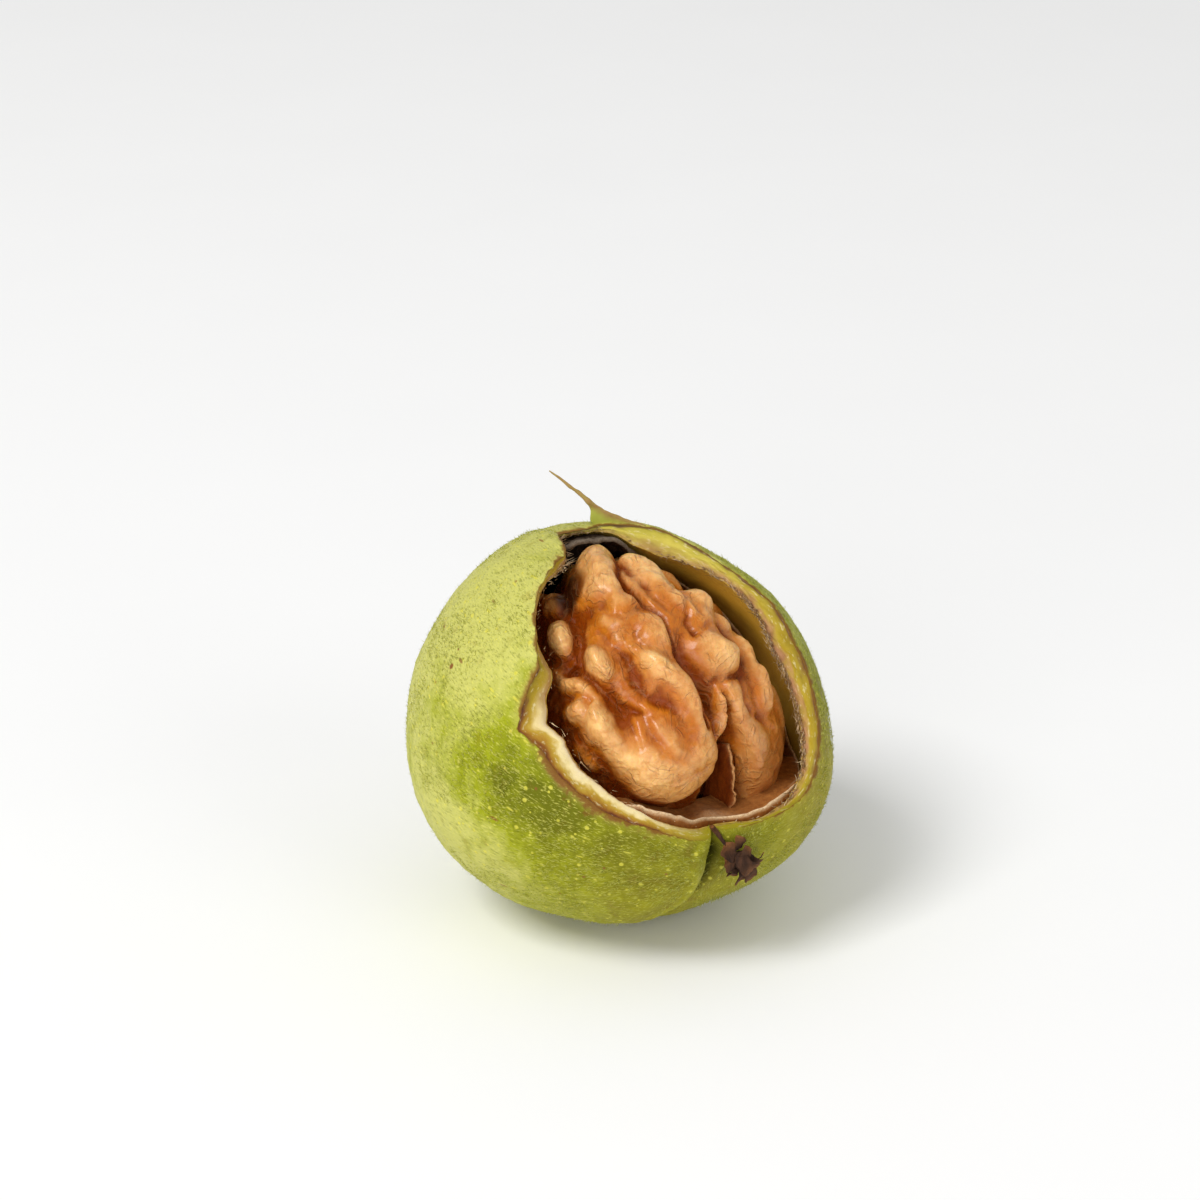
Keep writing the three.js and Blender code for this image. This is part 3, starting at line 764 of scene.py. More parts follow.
def two_sided(front, back):
    """The two sides of a sheet, or values on them, as a grid that closes along its rows."""
    return np.concatenate([front, back[:, ::-1]], axis=1)


def blurred(grid, rows, columns):
    """A grid averaged over that many rows and columns each way, closed along its rows."""
    out = grid
    for _ in range(2):
        out = sum(np.roll(out, s, axis=1) for s in range(-columns, columns + 1)) / (2 * columns + 1)
        held = np.pad(out, ((rows, rows), (0, 0)), mode="edge")
        out = sum(held[s : s + len(grid)] for s in range(2 * rows + 1)) / (2 * rows + 1)
    return out


def spikes(roots, directions, lengths, widths, bends, steps):
    """Fine tapering hairs, each a ring of points carried along a line that bends as it goes.

    The line is root + length (t direction + t^2 bend), and its half width falls as 1 - t.
    """
    t = np.linspace(0, 1, steps + 1)
    reach = t[:, None] * directions[:, None, :] + (t**2)[:, None] * bends[:, None, :]
    line = roots[:, None, :] + lengths[:, None, None] * reach
    helper = np.where(np.abs(directions[:, 2:3]) > 0.8, [[1.0, 0, 0]], [[0, 0, 1.0]])
    side = unit(np.cross(directions, helper))
    other = np.cross(directions, side)
    sides = 3
    angle = evenly_round(sides)
    around = np.cos(angle)[:, None] * side[:, None, :] + np.sin(angle)[:, None] * other[:, None, :]
    thick = widths[:, None] * (1 - t[:-1])
    body = line[:, :-1, None, :] + thick[:, :, None, None] * around[:, None, :, :]
    count = len(roots)
    per_hair = steps * sides + 1
    points = np.concatenate([body.reshape(count, -1, 3), line[:, -1:, :]], axis=1).reshape(-1, 3)
    ring = np.arange(steps * sides).reshape(steps, sides)
    after = np.roll(ring, -1, axis=1)
    quads = np.stack([ring[:-1], after[:-1], after[1:], ring[1:]], -1).reshape(-1, 4)
    tip = np.full(sides, steps * sides)
    caps = np.stack([ring[-1], after[-1], tip, ring[-1]], -1)
    base = np.array([[2, 1, 0, 2]])
    one = np.concatenate([quads, caps, base])
    faces = (one[None] + (np.arange(count) * per_hair)[:, None, None]).reshape(-1, 4)
    return points, faces, np.repeat(np.arange(count), per_hair)


def hair_piece(name, hairs, material, values):
    """A piece made of many hairs, with one value of each attribute for each hair."""
    points, faces, owner = hairs
    spread = {key: value[owner] for key, value in values.items()}
    return make_piece(name, points, faces, material, None, spread)


# ------------------------------------------------------------------ node materials


def colour(r, g, b):
    """An opaque colour for a socket."""
    return (r, g, b, 1.0)


class Nodes:
    """Short calls that add shader nodes to one material."""

    def __init__(self, tree):
        self.tree = tree

    def add(self, kind, inputs=None, **settings):
        """A node with its settings. An input is a socket to link, or a value to set."""
        made = self.tree.nodes.new(kind)
        for name, value in settings.items():
            setattr(made, name, value)
        for name, value in (inputs or {}).items():
            if isinstance(value, bpy.types.NodeSocket):
                self.tree.links.new(value, made.inputs[name])
            else:
                made.inputs[name].default_value = value
        return made

    def attribute(self, name):
        """The value of one of the mesh's attributes."""
        return self.add("ShaderNodeAttribute", attribute_name=name).outputs["Fac"]

    def vector(self, x, y, z):
        """A vector of three values."""
        return self.add("ShaderNodeCombineXYZ", {"X": x, "Y": y, "Z": z}).outputs["Vector"]

    def mixed(self, factor, a, b):
        """Colour a with colour b laid over it by that factor."""
        return self.add("ShaderNodeMix", {0: factor, 6: a, 7: b}, data_type="RGBA").outputs[2]

    def layered(self, base, *layers):
        """A base colour with colours laid over it in turn, each given as its factor and colour."""
        for factor, over in layers:
            base = self.mixed(factor, base, over)
        return base

    def ranged(self, value, low, high, to_low=0.0, to_high=1.0, kind="LINEAR"):
        """value carried from low..high to to_low..to_high, and held at those ends."""
        limits = {"From Min": low, "From Max": high, "To Min": to_low, "To Max": to_high}
        inputs = {"Value": value, **limits}
        return self.add("ShaderNodeMapRange", inputs, interpolation_type=kind).outputs["Result"]

    def rising(self, value, low, high):
        """0 below low, 1 above high, and a smooth step between them."""
        return self.ranged(value, low, high, kind="SMOOTHSTEP")

    def falling(self, value, low, high):
        """1 below low, 0 above high, and a smooth step between them."""
        return self.ranged(value, low, high, 1.0, 0.0, kind="SMOOTHSTEP")

    def maths(self, operation, first, *others):
        """One operation over some values, taken from left to right."""
        for other in others or (0.0,):
            made = self.add("ShaderNodeMath", {0: first, 1: other}, operation=operation)
            first = made.outputs[0]
        return first

    def times(self, *values):
        """The product of values."""
        return self.maths("MULTIPLY", *values)

    def plus(self, *values):
        """The sum of values."""
        return self.maths("ADD", *values)

    def most(self, *values):
        """The largest of values."""
        return self.maths("MAXIMUM", *values)

    def from_middle(self, value):
        """How far a value lies from one half."""
        return self.maths("ABSOLUTE", self.maths("SUBTRACT", value, 0.5))

    def ramp(self, factor, stops):
        """A colour ramp over a factor. A stop is its position and its red, green and blue."""
        made = self.add("ShaderNodeValToRGB", {"Fac": factor})
        elements = made.color_ramp.elements
        while len(elements) < len(stops):
            elements.new(1.0)
        for element, (position, *rgb) in zip(elements, stops):
            element.position = position
            element.color = colour(*rgb)
        return made.outputs["Color"]

    def millimetres(self, scale=(1, 1, 1), turn=(0, 0, 0)):
        """Object coordinates in millimetres, turned and then stretched."""
        place = self.add("ShaderNodeTexCoord").outputs["Object"]
        stretch = tuple(s / MM for s in scale)
        inputs = {"Vector": place, "Rotation": turn, "Scale": stretch}
        return self.add("ShaderNodeMapping", inputs).outputs["Vector"]

    def cloud(self, vector, size, detail=2.0, rough=0.5, distortion=0.0):
        """Noise from 0 to 1 whose features are about that many millimetres across."""
        shape = {"Detail": detail, "Roughness": rough, "Distortion": distortion}
        inputs = {"Vector": vector, "Scale": 1 / size, **shape}
        return self.add("ShaderNodeTexNoise", inputs).outputs["Fac"]

    def spots(self, vector, size, radius, share):
        """1 on round spots in that share of some cells, and 0 elsewhere.

        The size of the cells is in mm, and the radius of the spots is in cell sizes.
        """
        inputs = {"Vector": vector, "Scale": 1 / size, "Randomness": 1.0}
        cells = self.add("ShaderNodeTexVoronoi", inputs).outputs
        random = self.add("ShaderNodeSeparateColor", {"Color": cells["Color"]}).outputs["Red"]
        shape = self.falling(cells["Distance"], radius * 0.55, radius)
        return self.times(self.maths("LESS_THAN", random, share), shape)

    def mark(self, place, centre, radius):
        """1 at a place in mm, and 0 from that radius away from it."""
        away = self.add("ShaderNodeVectorMath", {0: place, 1: centre}, operation="DISTANCE")
        return self.falling(away.outputs["Value"], radius * 0.5, radius)

    def bumped(self, height, distance, strength):
        """A normal roughened by a height from 0 to 1, which stands for that many millimetres."""
        inputs = {"Height": height, "Distance": distance * MM, "Strength": strength}
        return self.add("ShaderNodeBump", inputs).outputs["Normal"]


def finish(name, shader_inputs, build):
    """A material whose Principled shader takes constant inputs, and linked ones from build.

    build is given a Nodes and returns the sockets to link, by the names of the inputs.
    """
    material = bpy.data.materials.new(name)
    material.use_nodes = True
    tree = material.node_tree
    shader = tree.nodes["Principled BSDF"]
    for key, value in shader_inputs.items():
        shader.inputs[key].default_value = value
    for key, socket in build(Nodes(tree)).items():
        tree.links.new(socket, shader.inputs[key])
    return material


# Colours across the torn face: place from the skin's edge at 0 to the inner edge at 1, then red,
# green and blue. The attributes cream and lime choose between the three.
CREAM_FACE = (
    (0.0, 0.15, 0.045, 0.02),
    (0.12, 0.26, 0.10, 0.02),
    (0.26, 0.40, 0.21, 0.025),
    (0.46, 0.50, 0.33, 0.045),
    (0.58, 0.80, 0.66, 0.32),
    (0.85, 0.88, 0.76, 0.48),
    (1.0, 0.58, 0.36, 0.12),
)
OLIVE_FACE = (
    (0.0, 0.14, 0.07, 0.04),
    (0.07, 0.24, 0.14, 0.035),
    (0.18, 0.34, 0.26, 0.025),
    (0.42, 0.43, 0.31, 0.022),
    (0.75, 0.40, 0.22, 0.022),
    (1.0, 0.34, 0.15, 0.035),
)
LIME_FACE = (
    (0.0, 0.17, 0.10, 0.05),
    (0.07, 0.26, 0.17, 0.05),
    (0.16, 0.50, 0.44, 0.06),
    (0.4, 0.68, 0.58, 0.10),
    (0.75, 0.62, 0.50, 0.10),
    (1.0, 0.50, 0.33, 0.08),
)
# The one large brown spot on the left of the skin: its place in mm and its radius.
BROWN_SPOT = (-20.9, -10.6, 37.65)
BROWN_SPOT_RADIUS = 0.55


def skin_look(n, colours, place, profile):
    """The husk's skin: its colour, its height for the bump, and its fine and patchy noises.

    Greens by depth, with painted shade and a painted highlight beside the crease, then pale
    flecks and threads with painted shade between them, brown specks, painted shade along the
    bottom of the crease, and the faded and browned skin beside the tear.
    """
    grain = n.vector(*(n.attribute("grain_" + axis) for axis in "xyz"))
    bruise = n.attribute("bruise")
    patchy = n.cloud(place, 2.6, 3.0, 0.6)
    fine = n.cloud(place, 0.9, 3.0, 0.6)
    broad = n.cloud(place, 8.0, 3.0, 0.55)
    uneven = (n.ranged(look, 0.3, 0.7, -0.2, 0.2) for look in (broad, patchy))
    greener = n.plus(n.attribute("depth"), *uneven)

    blobs = n.most(
        n.spots(place, 1.7, 0.22, 0.7), n.spots(place, 1.1, 0.2, 0.4), n.spots(grain, 1.2, 0.2, 0.35)
    )
    threads = n.cloud(grain, 0.24, 2.0, 0.5)
    specks = n.times(n.most(n.spots(place, 2.6, 0.1, 0.35), n.spots(grain, 2.2, 0.13, 0.22)), 0.75)
    stain = n.times(n.ranged(patchy, 0.6, 0.72, 0.0, 0.35), fine)
    fade = n.times(n.rising(profile, -1.7, -0.2), n.ranged(patchy, 0.35, 0.65, 0.1, 0.8), bruise)
    width = n.times(
        n.ranged(fine, 0.25, 0.75, 0.5, 1.5), bruise, n.ranged(patchy, 0.36, 0.64, 0.25, 1.75)
    )
    band = n.rising(n.maths("DIVIDE", profile, width), -1.2, -0.3)
    skin = n.layered(
        colours.pale,
        (n.ranged(greener, 0.0, 0.5), colours.green),
        (n.ranged(greener, 0.5, 1.0), colours.deep),
        (n.attribute("warm"), colours.warm),
        (n.times(blobs, 0.75), colours.fleck),
        (n.times(n.rising(threads, 0.56, 0.68), 0.5), colours.thread),
        # Painted shade: the low gaps between the pale threads are darkened towards deep green.
        (n.times(n.falling(threads, 0.3, 0.44), 0.45), colours.deep),
        (n.most(specks, stain, n.mark(place, BROWN_SPOT, BROWN_SPOT_RADIUS)), colours.speck),
        # Painted shade along the bottom of the crease.
        (n.times(n.attribute("slit"), 0.9), colours.slit),
        (fade, colours.faded),
        (n.times(band, 0.85), colours.bruise),
    )
    raised = n.plus(n.times(blobs, 0.35), threads, n.times(fine, 0.3))
    return skin, raised, fine, patchy


def torn_face_look(n, colours, profile, fine, patchy):
    """The torn face: its colour and the shreds that its bump is made of."""
    # Noise on the face is drawn out along the rim.
    round_rim = n.vector(n.attribute("round_x"), n.attribute("round_y"), n.times(profile, 3.0))
    shreds = n.cloud(round_rim, 0.4, 3.0, 0.6)
    wavy = n.plus(profile, n.ranged(n.cloud(round_rim, 1.4, 3.0), 0.25, 0.75, -0.2, 0.2))
    over = n.times(n.attribute("spread"), n.ranged(wavy, 0.5, 1.0, 1.0, 0.6))
    browned = n.times(
        n.ranged(wavy, 0.45, 0.75), n.attribute("fibrous"), n.ranged(patchy, 0.38, 0.52)
    )
    face = n.layered(
        n.ramp(wavy, OLIVE_FACE),
        (n.attribute("lime"), n.ramp(wavy, LIME_FACE)),
        (n.attribute("cream"), n.ramp(wavy, CREAM_FACE)),
        (over, n.mixed(fine, colours.green, colours.warm)),
        (n.ranged(shreds, 0.58, 0.7, 0.0, 0.5), colours.shred),
        (browned, n.mixed(shreds, colours.speck, colours.torn)),
    )
    return face, shreds


def husk_finish(colours):
    """Green skin with pale flecks and brown specks, a torn edge, and an olive inner wall with painted
    shade deep inside and a painted glow.

    The attribute profile is minus the distance in mm from the torn edge on the skin, 0 to 1
    across the torn face, and 1 plus the distance in mm from the edge on the inner wall. The
    attributes grain_x, grain_y and grain_z are a place stretched along the skin's grain.
    """

    def build(n):
        place = n.millimetres()
        profile = n.attribute("profile")
        skin, raised, fine, patchy = skin_look(n, colours, place, profile)
        face, shreds = torn_face_look(n, colours, profile, fine, patchy)
        streaks = n.cloud(place, 0.9, 4.0, 0.65)
        # The inner wall: darker streaks of its own, and painted shade that darkens it from 5 to 14 mm
        # inside the edge.
        wall = n.layered(
            colours.wall,
            (n.ranged(streaks, 0.35, 0.7), colours.wall_streaks_and_shade),
            (n.ranged(profile, 5.0, 14.0), colours.wall_streaks_and_shade),
        )
        # Painted glow: an emitted colour on the inner wall stands in for light that comes through the
        # husk from outside.
        soaked = n.times(
            n.attribute("soaked"), n.ranged(profile, 1.0, 1.5), n.ranged(streaks, 0.3, 0.7, 0.65, 1.15)
        )
        on_face = n.ranged(profile, -0.08, 0.02)
        on_wall = n.ranged(profile, 0.98, 1.25)
        height = n.add("ShaderNodeMix", {0: on_face, 2: raised, 3: n.times(shreds, 0.7)})
        return {
            "Base Color": n.layered(skin, (on_face, face), (on_wall, wall)),
            "Emission Color": n.mixed(soaked, colour(0, 0, 0), colours.soaked),
            "Roughness": n.ranged(fine, 0.25, 0.75, 0.62, 0.45),
            "Normal": n.bumped(height.outputs[0], 0.16, 0.75),
        }

    constants = {
        # Emission Strength sets the painted glow on the inner wall.
        "Emission Strength": 1.0,
        "Subsurface Weight": 0.06,
        "Subsurface Radius": (0.6, 0.7, 0.1),
        "Subsurface Scale": 0.8 * MM,
        "Specular IOR Level": 0.12,
    }
    return finish("Green husk", constants, build)


# Thin wandering lines on the kernel: size of the noise that they follow in mm, and their width.
VEINS = ((7.0, 0.006), (4.2, 0.006))
FINE_CREASES = (1.6, 0.02)


def kernel_finish(colours):
    """Thin waxy skin over the lobes: orange-brown, paler on the crests with painted highlight, darker
    in the valleys with painted shade, veined and wrinkled.
    """

    def build(n):
        place = n.millimetres()
        valley = n.attribute("valley")
        broad = n.cloud(place, 3.4, 4.0, 0.6)
        patchy = n.cloud(place, 4.5, 2.0, 0.5, 0.4)
        fine = n.cloud(place, 1.0, 3.0, 0.55, 0.6)
        drawn = n.millimetres((1, 0.5, 1), (0.4, 0.2, 0.6))

        def wandering_line(size, width):
            """1 where a slow noise passes through its middle value, and 0 elsewhere."""
            return n.falling(n.from_middle(n.cloud(drawn, size, 1.0, 0.4, 0.6)), 0.0, width)

        veins = n.most(*(wandering_line(*vein) for vein in VEINS))
        veins = n.times(veins, n.ranged(patchy, 0.5, 0.62))
        creases = n.times(wandering_line(*FINE_CREASES), n.ranged(valley, 0.0, 0.6))
        specks = n.spots(place, 2.6, 0.07, 0.12)
        marks = n.most(n.times(veins, 0.55), n.times(creases, 0.3), n.times(specks, 0.3))

        # Crumpled skin: sharp little ridges where a noise passes through its middle value.
        ridges = n.ranged(n.from_middle(n.cloud(drawn, 2.4, 1.0, 0.5, 1.2)), 0.0, 0.08, 1.0, 0.0)
        ridges = n.times(ridges, n.ranged(patchy, 0.38, 0.6, 0.1, 1.0))
        folds = n.cloud(drawn, 1.7, 2.0, 0.5, 1.2)
        height = n.plus(n.times(ridges, 0.6), n.times(folds, 1.3))
        height = n.maths("SUBTRACT", height, n.times(creases, 0.3))

        # Crests: paler skin, partly its own tone and partly painted highlight.
        light = n.times(n.attribute("crest"), n.ranged(fine, 0.32, 0.62, 0.5, 1.0))
        dark = n.plus(valley, n.ranged(fine, 0.3, 0.8, -0.1, 0.1))
        browner = n.times(n.attribute("browner"), n.ranged(broad, 0.3, 0.6, 0.6, 1.0))
        base = n.layered(
            colours.tan,
            (n.ranged(broad, 0.36, 0.62), colours.amber),
            (light, colours.pale),
            # Valleys: the skin's own deeper tone, with painted shade where the surface lies below its
            # surroundings.
            (n.ranged(dark, 0.1, 1.0), colours.valley),
            (browner, colours.browned),
            # Painted shade deep in the gaps.
            (n.attribute("sunk"), colours.sunk),
            (marks, colours.vein),
            # Painted highlight on the little crumpled ridges.
            (n.times(ridges, 0.1), colours.pale),
        )
        return {
            "Base Color": base,
            "Roughness": n.ranged(fine, 0.3, 0.7, 0.35, 0.5),
            "Normal": n.bumped(height, 0.3, 0.9),
            "Coat Weight": n.ranged(valley, 0.3, 0.9, 0.6, 0.15),
        }

    constants = {
        "Subsurface Weight": 0.18,
        "Subsurface Radius": (1.0, 0.4, 0.1),
        "Subsurface Scale": 1.2 * MM,
        "Specular IOR Level": 0.1,
        "Coat Roughness": 0.24,
    }
    return finish("Kernel skin", constants, build)


WEATHERED = (colour(0.025, 0.014, 0.009), colour(0.11, 0.075, 0.05), colour(0.40, 0.32, 0.23))


def papery_finish(name, dark, middle, pale, rough):
    """Thin woody paper: streaked browns that pale towards a torn edge, grey where weathered."""

    def build(n):
        streaks = n.cloud(n.millimetres((1, 1, 0.35), (0.3, 0.3, 0)), 0.8, 4.0, 0.65)
        fine = n.cloud(n.millimetres(), 0.3, 3.0, 0.6)
        torn = n.times(n.attribute("edge"), n.ranged(fine, 0.3, 0.6, 0.4, 1.0))
        dull_dark, dull_middle, dull_pale = WEATHERED
        dull = n.layered(
            dull_dark, (n.ranged(streaks, 0.45, 0.7), dull_middle), (n.times(torn, 0.4), dull_pale)
        )
        base = n.layered(
            dark,
            (n.ranged(streaks, 0.3, 0.7), middle),
            (torn, pale),
            (n.attribute("weathered"), dull),
        )
        return {"Base Color": base, "Normal": n.bumped(n.plus(streaks, fine), 0.12, 0.7)}

    return finish(name, {"Roughness": rough, "Specular IOR Level": 0.15}, build)


def hair_finish(name, root, tip, sheen):
    """Fine fibres whose colour runs from one to another by a random value for each."""

    def build(n):
        fine = n.cloud(n.millimetres(), 0.5, 2.0)
        tones = (n.attribute("tone"), tip), (n.ranged(fine, 0.3, 0.7, 0.0, 0.3), root)
        return {"Base Color": n.layered(root, *tones)}

    constants = {"Roughness": 0.6, "Sheen Weight": sheen, "Specular IOR Level": 0.3}
    return finish(name, constants, build)


# ------------------------------------------------------------------ settings


def colour_setting(name, description, *rgb):
    """A colour in the sidebar, with its red, green and blue to begin with."""
    return bpy.props.FloatVectorProperty(
        name=name, description=description, subtype="COLOR", size=4, default=colour(*rgb)
    )


def count_setting(name, description, default, **limits):
    """A whole number in the sidebar."""
    return bpy.props.IntProperty(name=name, description=description, default=default, **limits)


def amount_setting(name, description, default, **details):
    """A number in the sidebar."""
    return bpy.props.FloatProperty(name=name, description=description, default=default, **details)


class HuskSettings(bpy.types.PropertyGroup):
    """Sizes and colours of the green husk."""

    columns: count_setting("Columns", "Points round the mouth of the husk", 720, min=90, max=760)
    raggedness: amount_setting("Raggedness", "How far the torn edge wanders, in degrees", 0.8, min=0)
    relief: amount_setting("Relief", "Height of the skin's unevenness, in millimetres", 0.22, min=0)
    hairs: count_setting("Hairs", "Fine hairs on the skin", 36000, min=0)
    hair_length: amount_setting("Hair Length", "Longest hair on the skin", 0.0007, unit="LENGTH")
    fibres: count_setting("Fibres", "Torn fibres along the edge", 900, min=0)
    pale: colour_setting("Pale Green", "The skin where it is palest", 0.54, 0.53, 0.13)
    green: colour_setting("Green", "The skin in its middle tone", 0.31, 0.338, 0.007)
    deep: colour_setting("Deep Green", "The skin where it is deepest", 0.115, 0.128, 0.001)
    warm: colour_setting("Warm Green", "The skin low on the tip side", 0.32, 0.25, 0.012)
    thread: colour_setting("Threads", "Short pale threads of the skin", 0.68, 0.64, 0.14)
    fleck: colour_setting("Flecks", "Raised yellow flecks of the skin", 0.66, 0.60, 0.07)
    speck: colour_setting("Specks", "Small brown specks of the skin", 0.24, 0.09, 0.02)
    bruise: colour_setting("Bruise", "The browned line beside the tear", 0.18, 0.06, 0.009)
    # Painted shade in the bottom of the crease.
    slit: colour_setting("Crease Shade", "Painted shade in the bottom of the crease", 0.03, 0.03, 0.004)
    faded: colour_setting("Faded Skin", "The tan skin beside the browned line", 0.45, 0.31, 0.09)
    shred: colour_setting("Shreds", "Tiny pale shreds of the torn face", 0.85, 0.78, 0.45)
    torn: colour_setting("Torn Fibre", "Browned fibre of the torn face", 0.66, 0.37, 0.19)
    wall: colour_setting("Inner Wall", "The husk's inner wall", 0.80, 0.58, 0.12)
    # Painted glow: the emitted colour on the inner wall, in place of light through the husk.
    soaked: colour_setting(
        "Painted Glow", "Painted glow on the inner wall, in place of light through the husk", 0.22, 0.115, 0.010
    )
    # Streaks of the inner wall, and painted shade deep inside it.
    wall_streaks_and_shade: colour_setting("Inner Wall, Streaks and Shade", "Streaks of the inner wall, and painted shade deep inside", 0.44, 0.24, 0.03)


class KernelSettings(bpy.types.PropertyGroup):
    """Sizes and colours of the kernel."""

    columns: count_setting("Columns", "Points round the kernel", 440, min=60, max=470)
    rows: count_setting("Rows", "Points from end to end of the kernel", 215, min=40, max=230)
    wrinkles: amount_setting("Wrinkles", "How strong the small wrinkles are", 1.0, min=0)
    tan: colour_setting("Tan", "The kernel's skin", 0.555, 0.170, 0.009)
    amber: colour_setting("Amber", "The skin in its deeper patches", 0.44, 0.108, 0.003)
    # Crests: paler skin, partly its own tone and partly painted highlight.
    pale: colour_setting("Crests", "The skin on the crests, with painted highlight", 0.85, 0.50, 0.18)
    # Valleys: the skin's own deeper tone, with painted shade.
    valley: colour_setting("Valleys", "The skin between the folds, with painted shade", 0.235, 0.040, 0.001)
    browned: colour_setting(
        "Browned Lobe", "The skin low on the right-hand lobe", 0.34, 0.095, 0.014
    )
    # Painted shade deep in the gaps.
    sunk: colour_setting("Deepest Shade", "Painted shade deep in the gaps", 0.06, 0.012, 0.002)
    vein: colour_setting("Veins", "Thin veins and specks of the skin", 0.27, 0.075, 0.012)


class StageSettings(bpy.types.PropertyGroup):
    """The camera, the lights and the floor."""

    elevation: amount_setting(
        "Camera Elevation", "Height of the view", np.radians(23.0), subtype="ANGLE"
    )
    distance: amount_setting("Camera Distance", "From the husk's centre", 0.45, unit="LENGTH")
    lens: amount_setting("Lens", "Focal length in millimetres", 105.3, min=20)
    key: amount_setting("Key Light", "Power of the main soft light", 24.0, min=0, unit="POWER")
    fill: amount_setting("Fill Light", "Power of the weaker soft light", 6.0, min=0, unit="POWER")
    low: amount_setting(
        "Low Light", "Power of the low light that shines into the mouth", 7.5, min=0, unit="POWER"
    )
    world: amount_setting("Surroundings", "Brightness of the pale surroundings", 0.5, min=0)


# ------------------------------------------------------------------ operators


def husk_profile(columns, raggedness, relief):
    """The husk's points in rows: up the inner wall, across the torn face, down the skin."""
    phi = np.arange(columns) * 360 / columns
    ragged = raggedness * (0.35 + 0.65 * along(RIM_LOOK, phi, 3))
    jag = ragged * (0.5 * round_noise(phi, 6.0, 2, 1) + 0.35 * round_noise(phi, 1.6, 2, 4))
    torn = ragged * (0.9 * round_noise(phi, 8.0, 2, 3) + 0.45 * round_noise(phi, 2.5, 2, 2))
    outer_rim = along(FINE_RIM, phi, 1) + jag
    inner_rim = along(FINE_RIM, phi, 1) - along(FINE_RIM, phi, 2) + torn

    def rows_of(rim, shares, radius):
        theta = 180 + (rim - 180) * shares[:, None]
        d = from_mouth(drifted(phi, theta), theta)
        return d, radius(d), theta

    inner_shares = 1 - np.linspace(1, 0, INNER_ROWS)[:-1] ** 1.3
    d_in, r_in, theta_in = rows_of(inner_rim, inner_shares[1:], husk_inner)
    points_in = d_in * (r_in + 0.12 * noise(d_in * KERNEL_RADIUS, 1.6, 20))[..., None]
    outer_shares = (1 - np.linspace(1, 0, SKIN_ROWS)[:-1] ** 1.5)[1:]
    d_out, r_out, theta_out = rows_of(outer_rim, outer_shares, husk_outer)
    on_skin = d_out * SKIN_RADIUS
    uneven = relief * noises(on_skin, (1, 7.0, 21), (0.5, 2.6, 22))
    uneven += 0.28 * relief * noise(on_skin, 1.1, 23)
    # The skin curls in at the tear, and dips to a scar in a raised ring at the stalk.
    from_edge = np.radians(theta_out - outer_rim) * r_out
    curl = -0.25 * np.exp(-from_edge / 0.3)
    stalk = r_out * angle_from(STALK, d_out)
    ring = 0.45 * bell(stalk - STALK_SCAR_RADIUS, 0.7)
    scar = ring - 0.7 * (1 - smoothstep(stalk, 0.5, STALK_SCAR_RADIUS))
    points_out = d_out * (r_out + uneven + curl + scar)[..., None]
    points_out[..., 2] = np.maximum(points_out[..., 2], -HUSK_CENTRE[2])
    edge_in, edge_out = points_in[-1], points_out[-1]

    # The torn face: a bulge along its inner half where it is cream, grooves and shreds.
    across = np.linspace(0, 1, TORN_ROWS)[1:-1][:, None]
    face = edge_in + (edge_out - edge_in) * across[..., None]
    toward = unit(MOUTH - d_out[-1] * (d_out[-1] @ MOUTH)[:, None])
    width = np.linalg.norm(edge_out - edge_in, axis=-1)
    p = np.broadcast_to(np.radians(phi), across.shape[:1] + phi.shape)
    grain = np.stack([SKIN_RADIUS * np.cos(p), SKIN_RADIUS * np.sin(p), 5 * across * width], -1)
    lines = noises(grain, (1, 3.4, 24), (0.5, 1.5, 25))
    coarse = np.stack([grain[..., 0], grain[..., 1], 12 * across + 0 * p], -1)
    rough = along(RIM_LOOK, phi, 3) * noises(coarse, (1, 0.8, 26), (0.8, 1.7, 27))
    cream = along(RIM_LOOK, phi, 1)
    ridge = cream * bell(across - 0.3, 0.22) - 0.3 * (1 - cream) * across
    relief_out = 0.55 * ridge + (0.08 * lines + 0.14 * rough) * np.sin(np.pi * across) - 0.08
    face = face + toward * relief_out[..., None]

    grid = np.concatenate([points_in, face, points_out[::-1]])
    profile_in = 1.05 + np.radians(theta_in - inner_rim) * r_in
    profile_face = np.broadcast_to(1 - across, face.shape[:2])
    profile = np.concatenate([profile_in, profile_face, -from_edge[::-1]])
    return grid, profile, phi


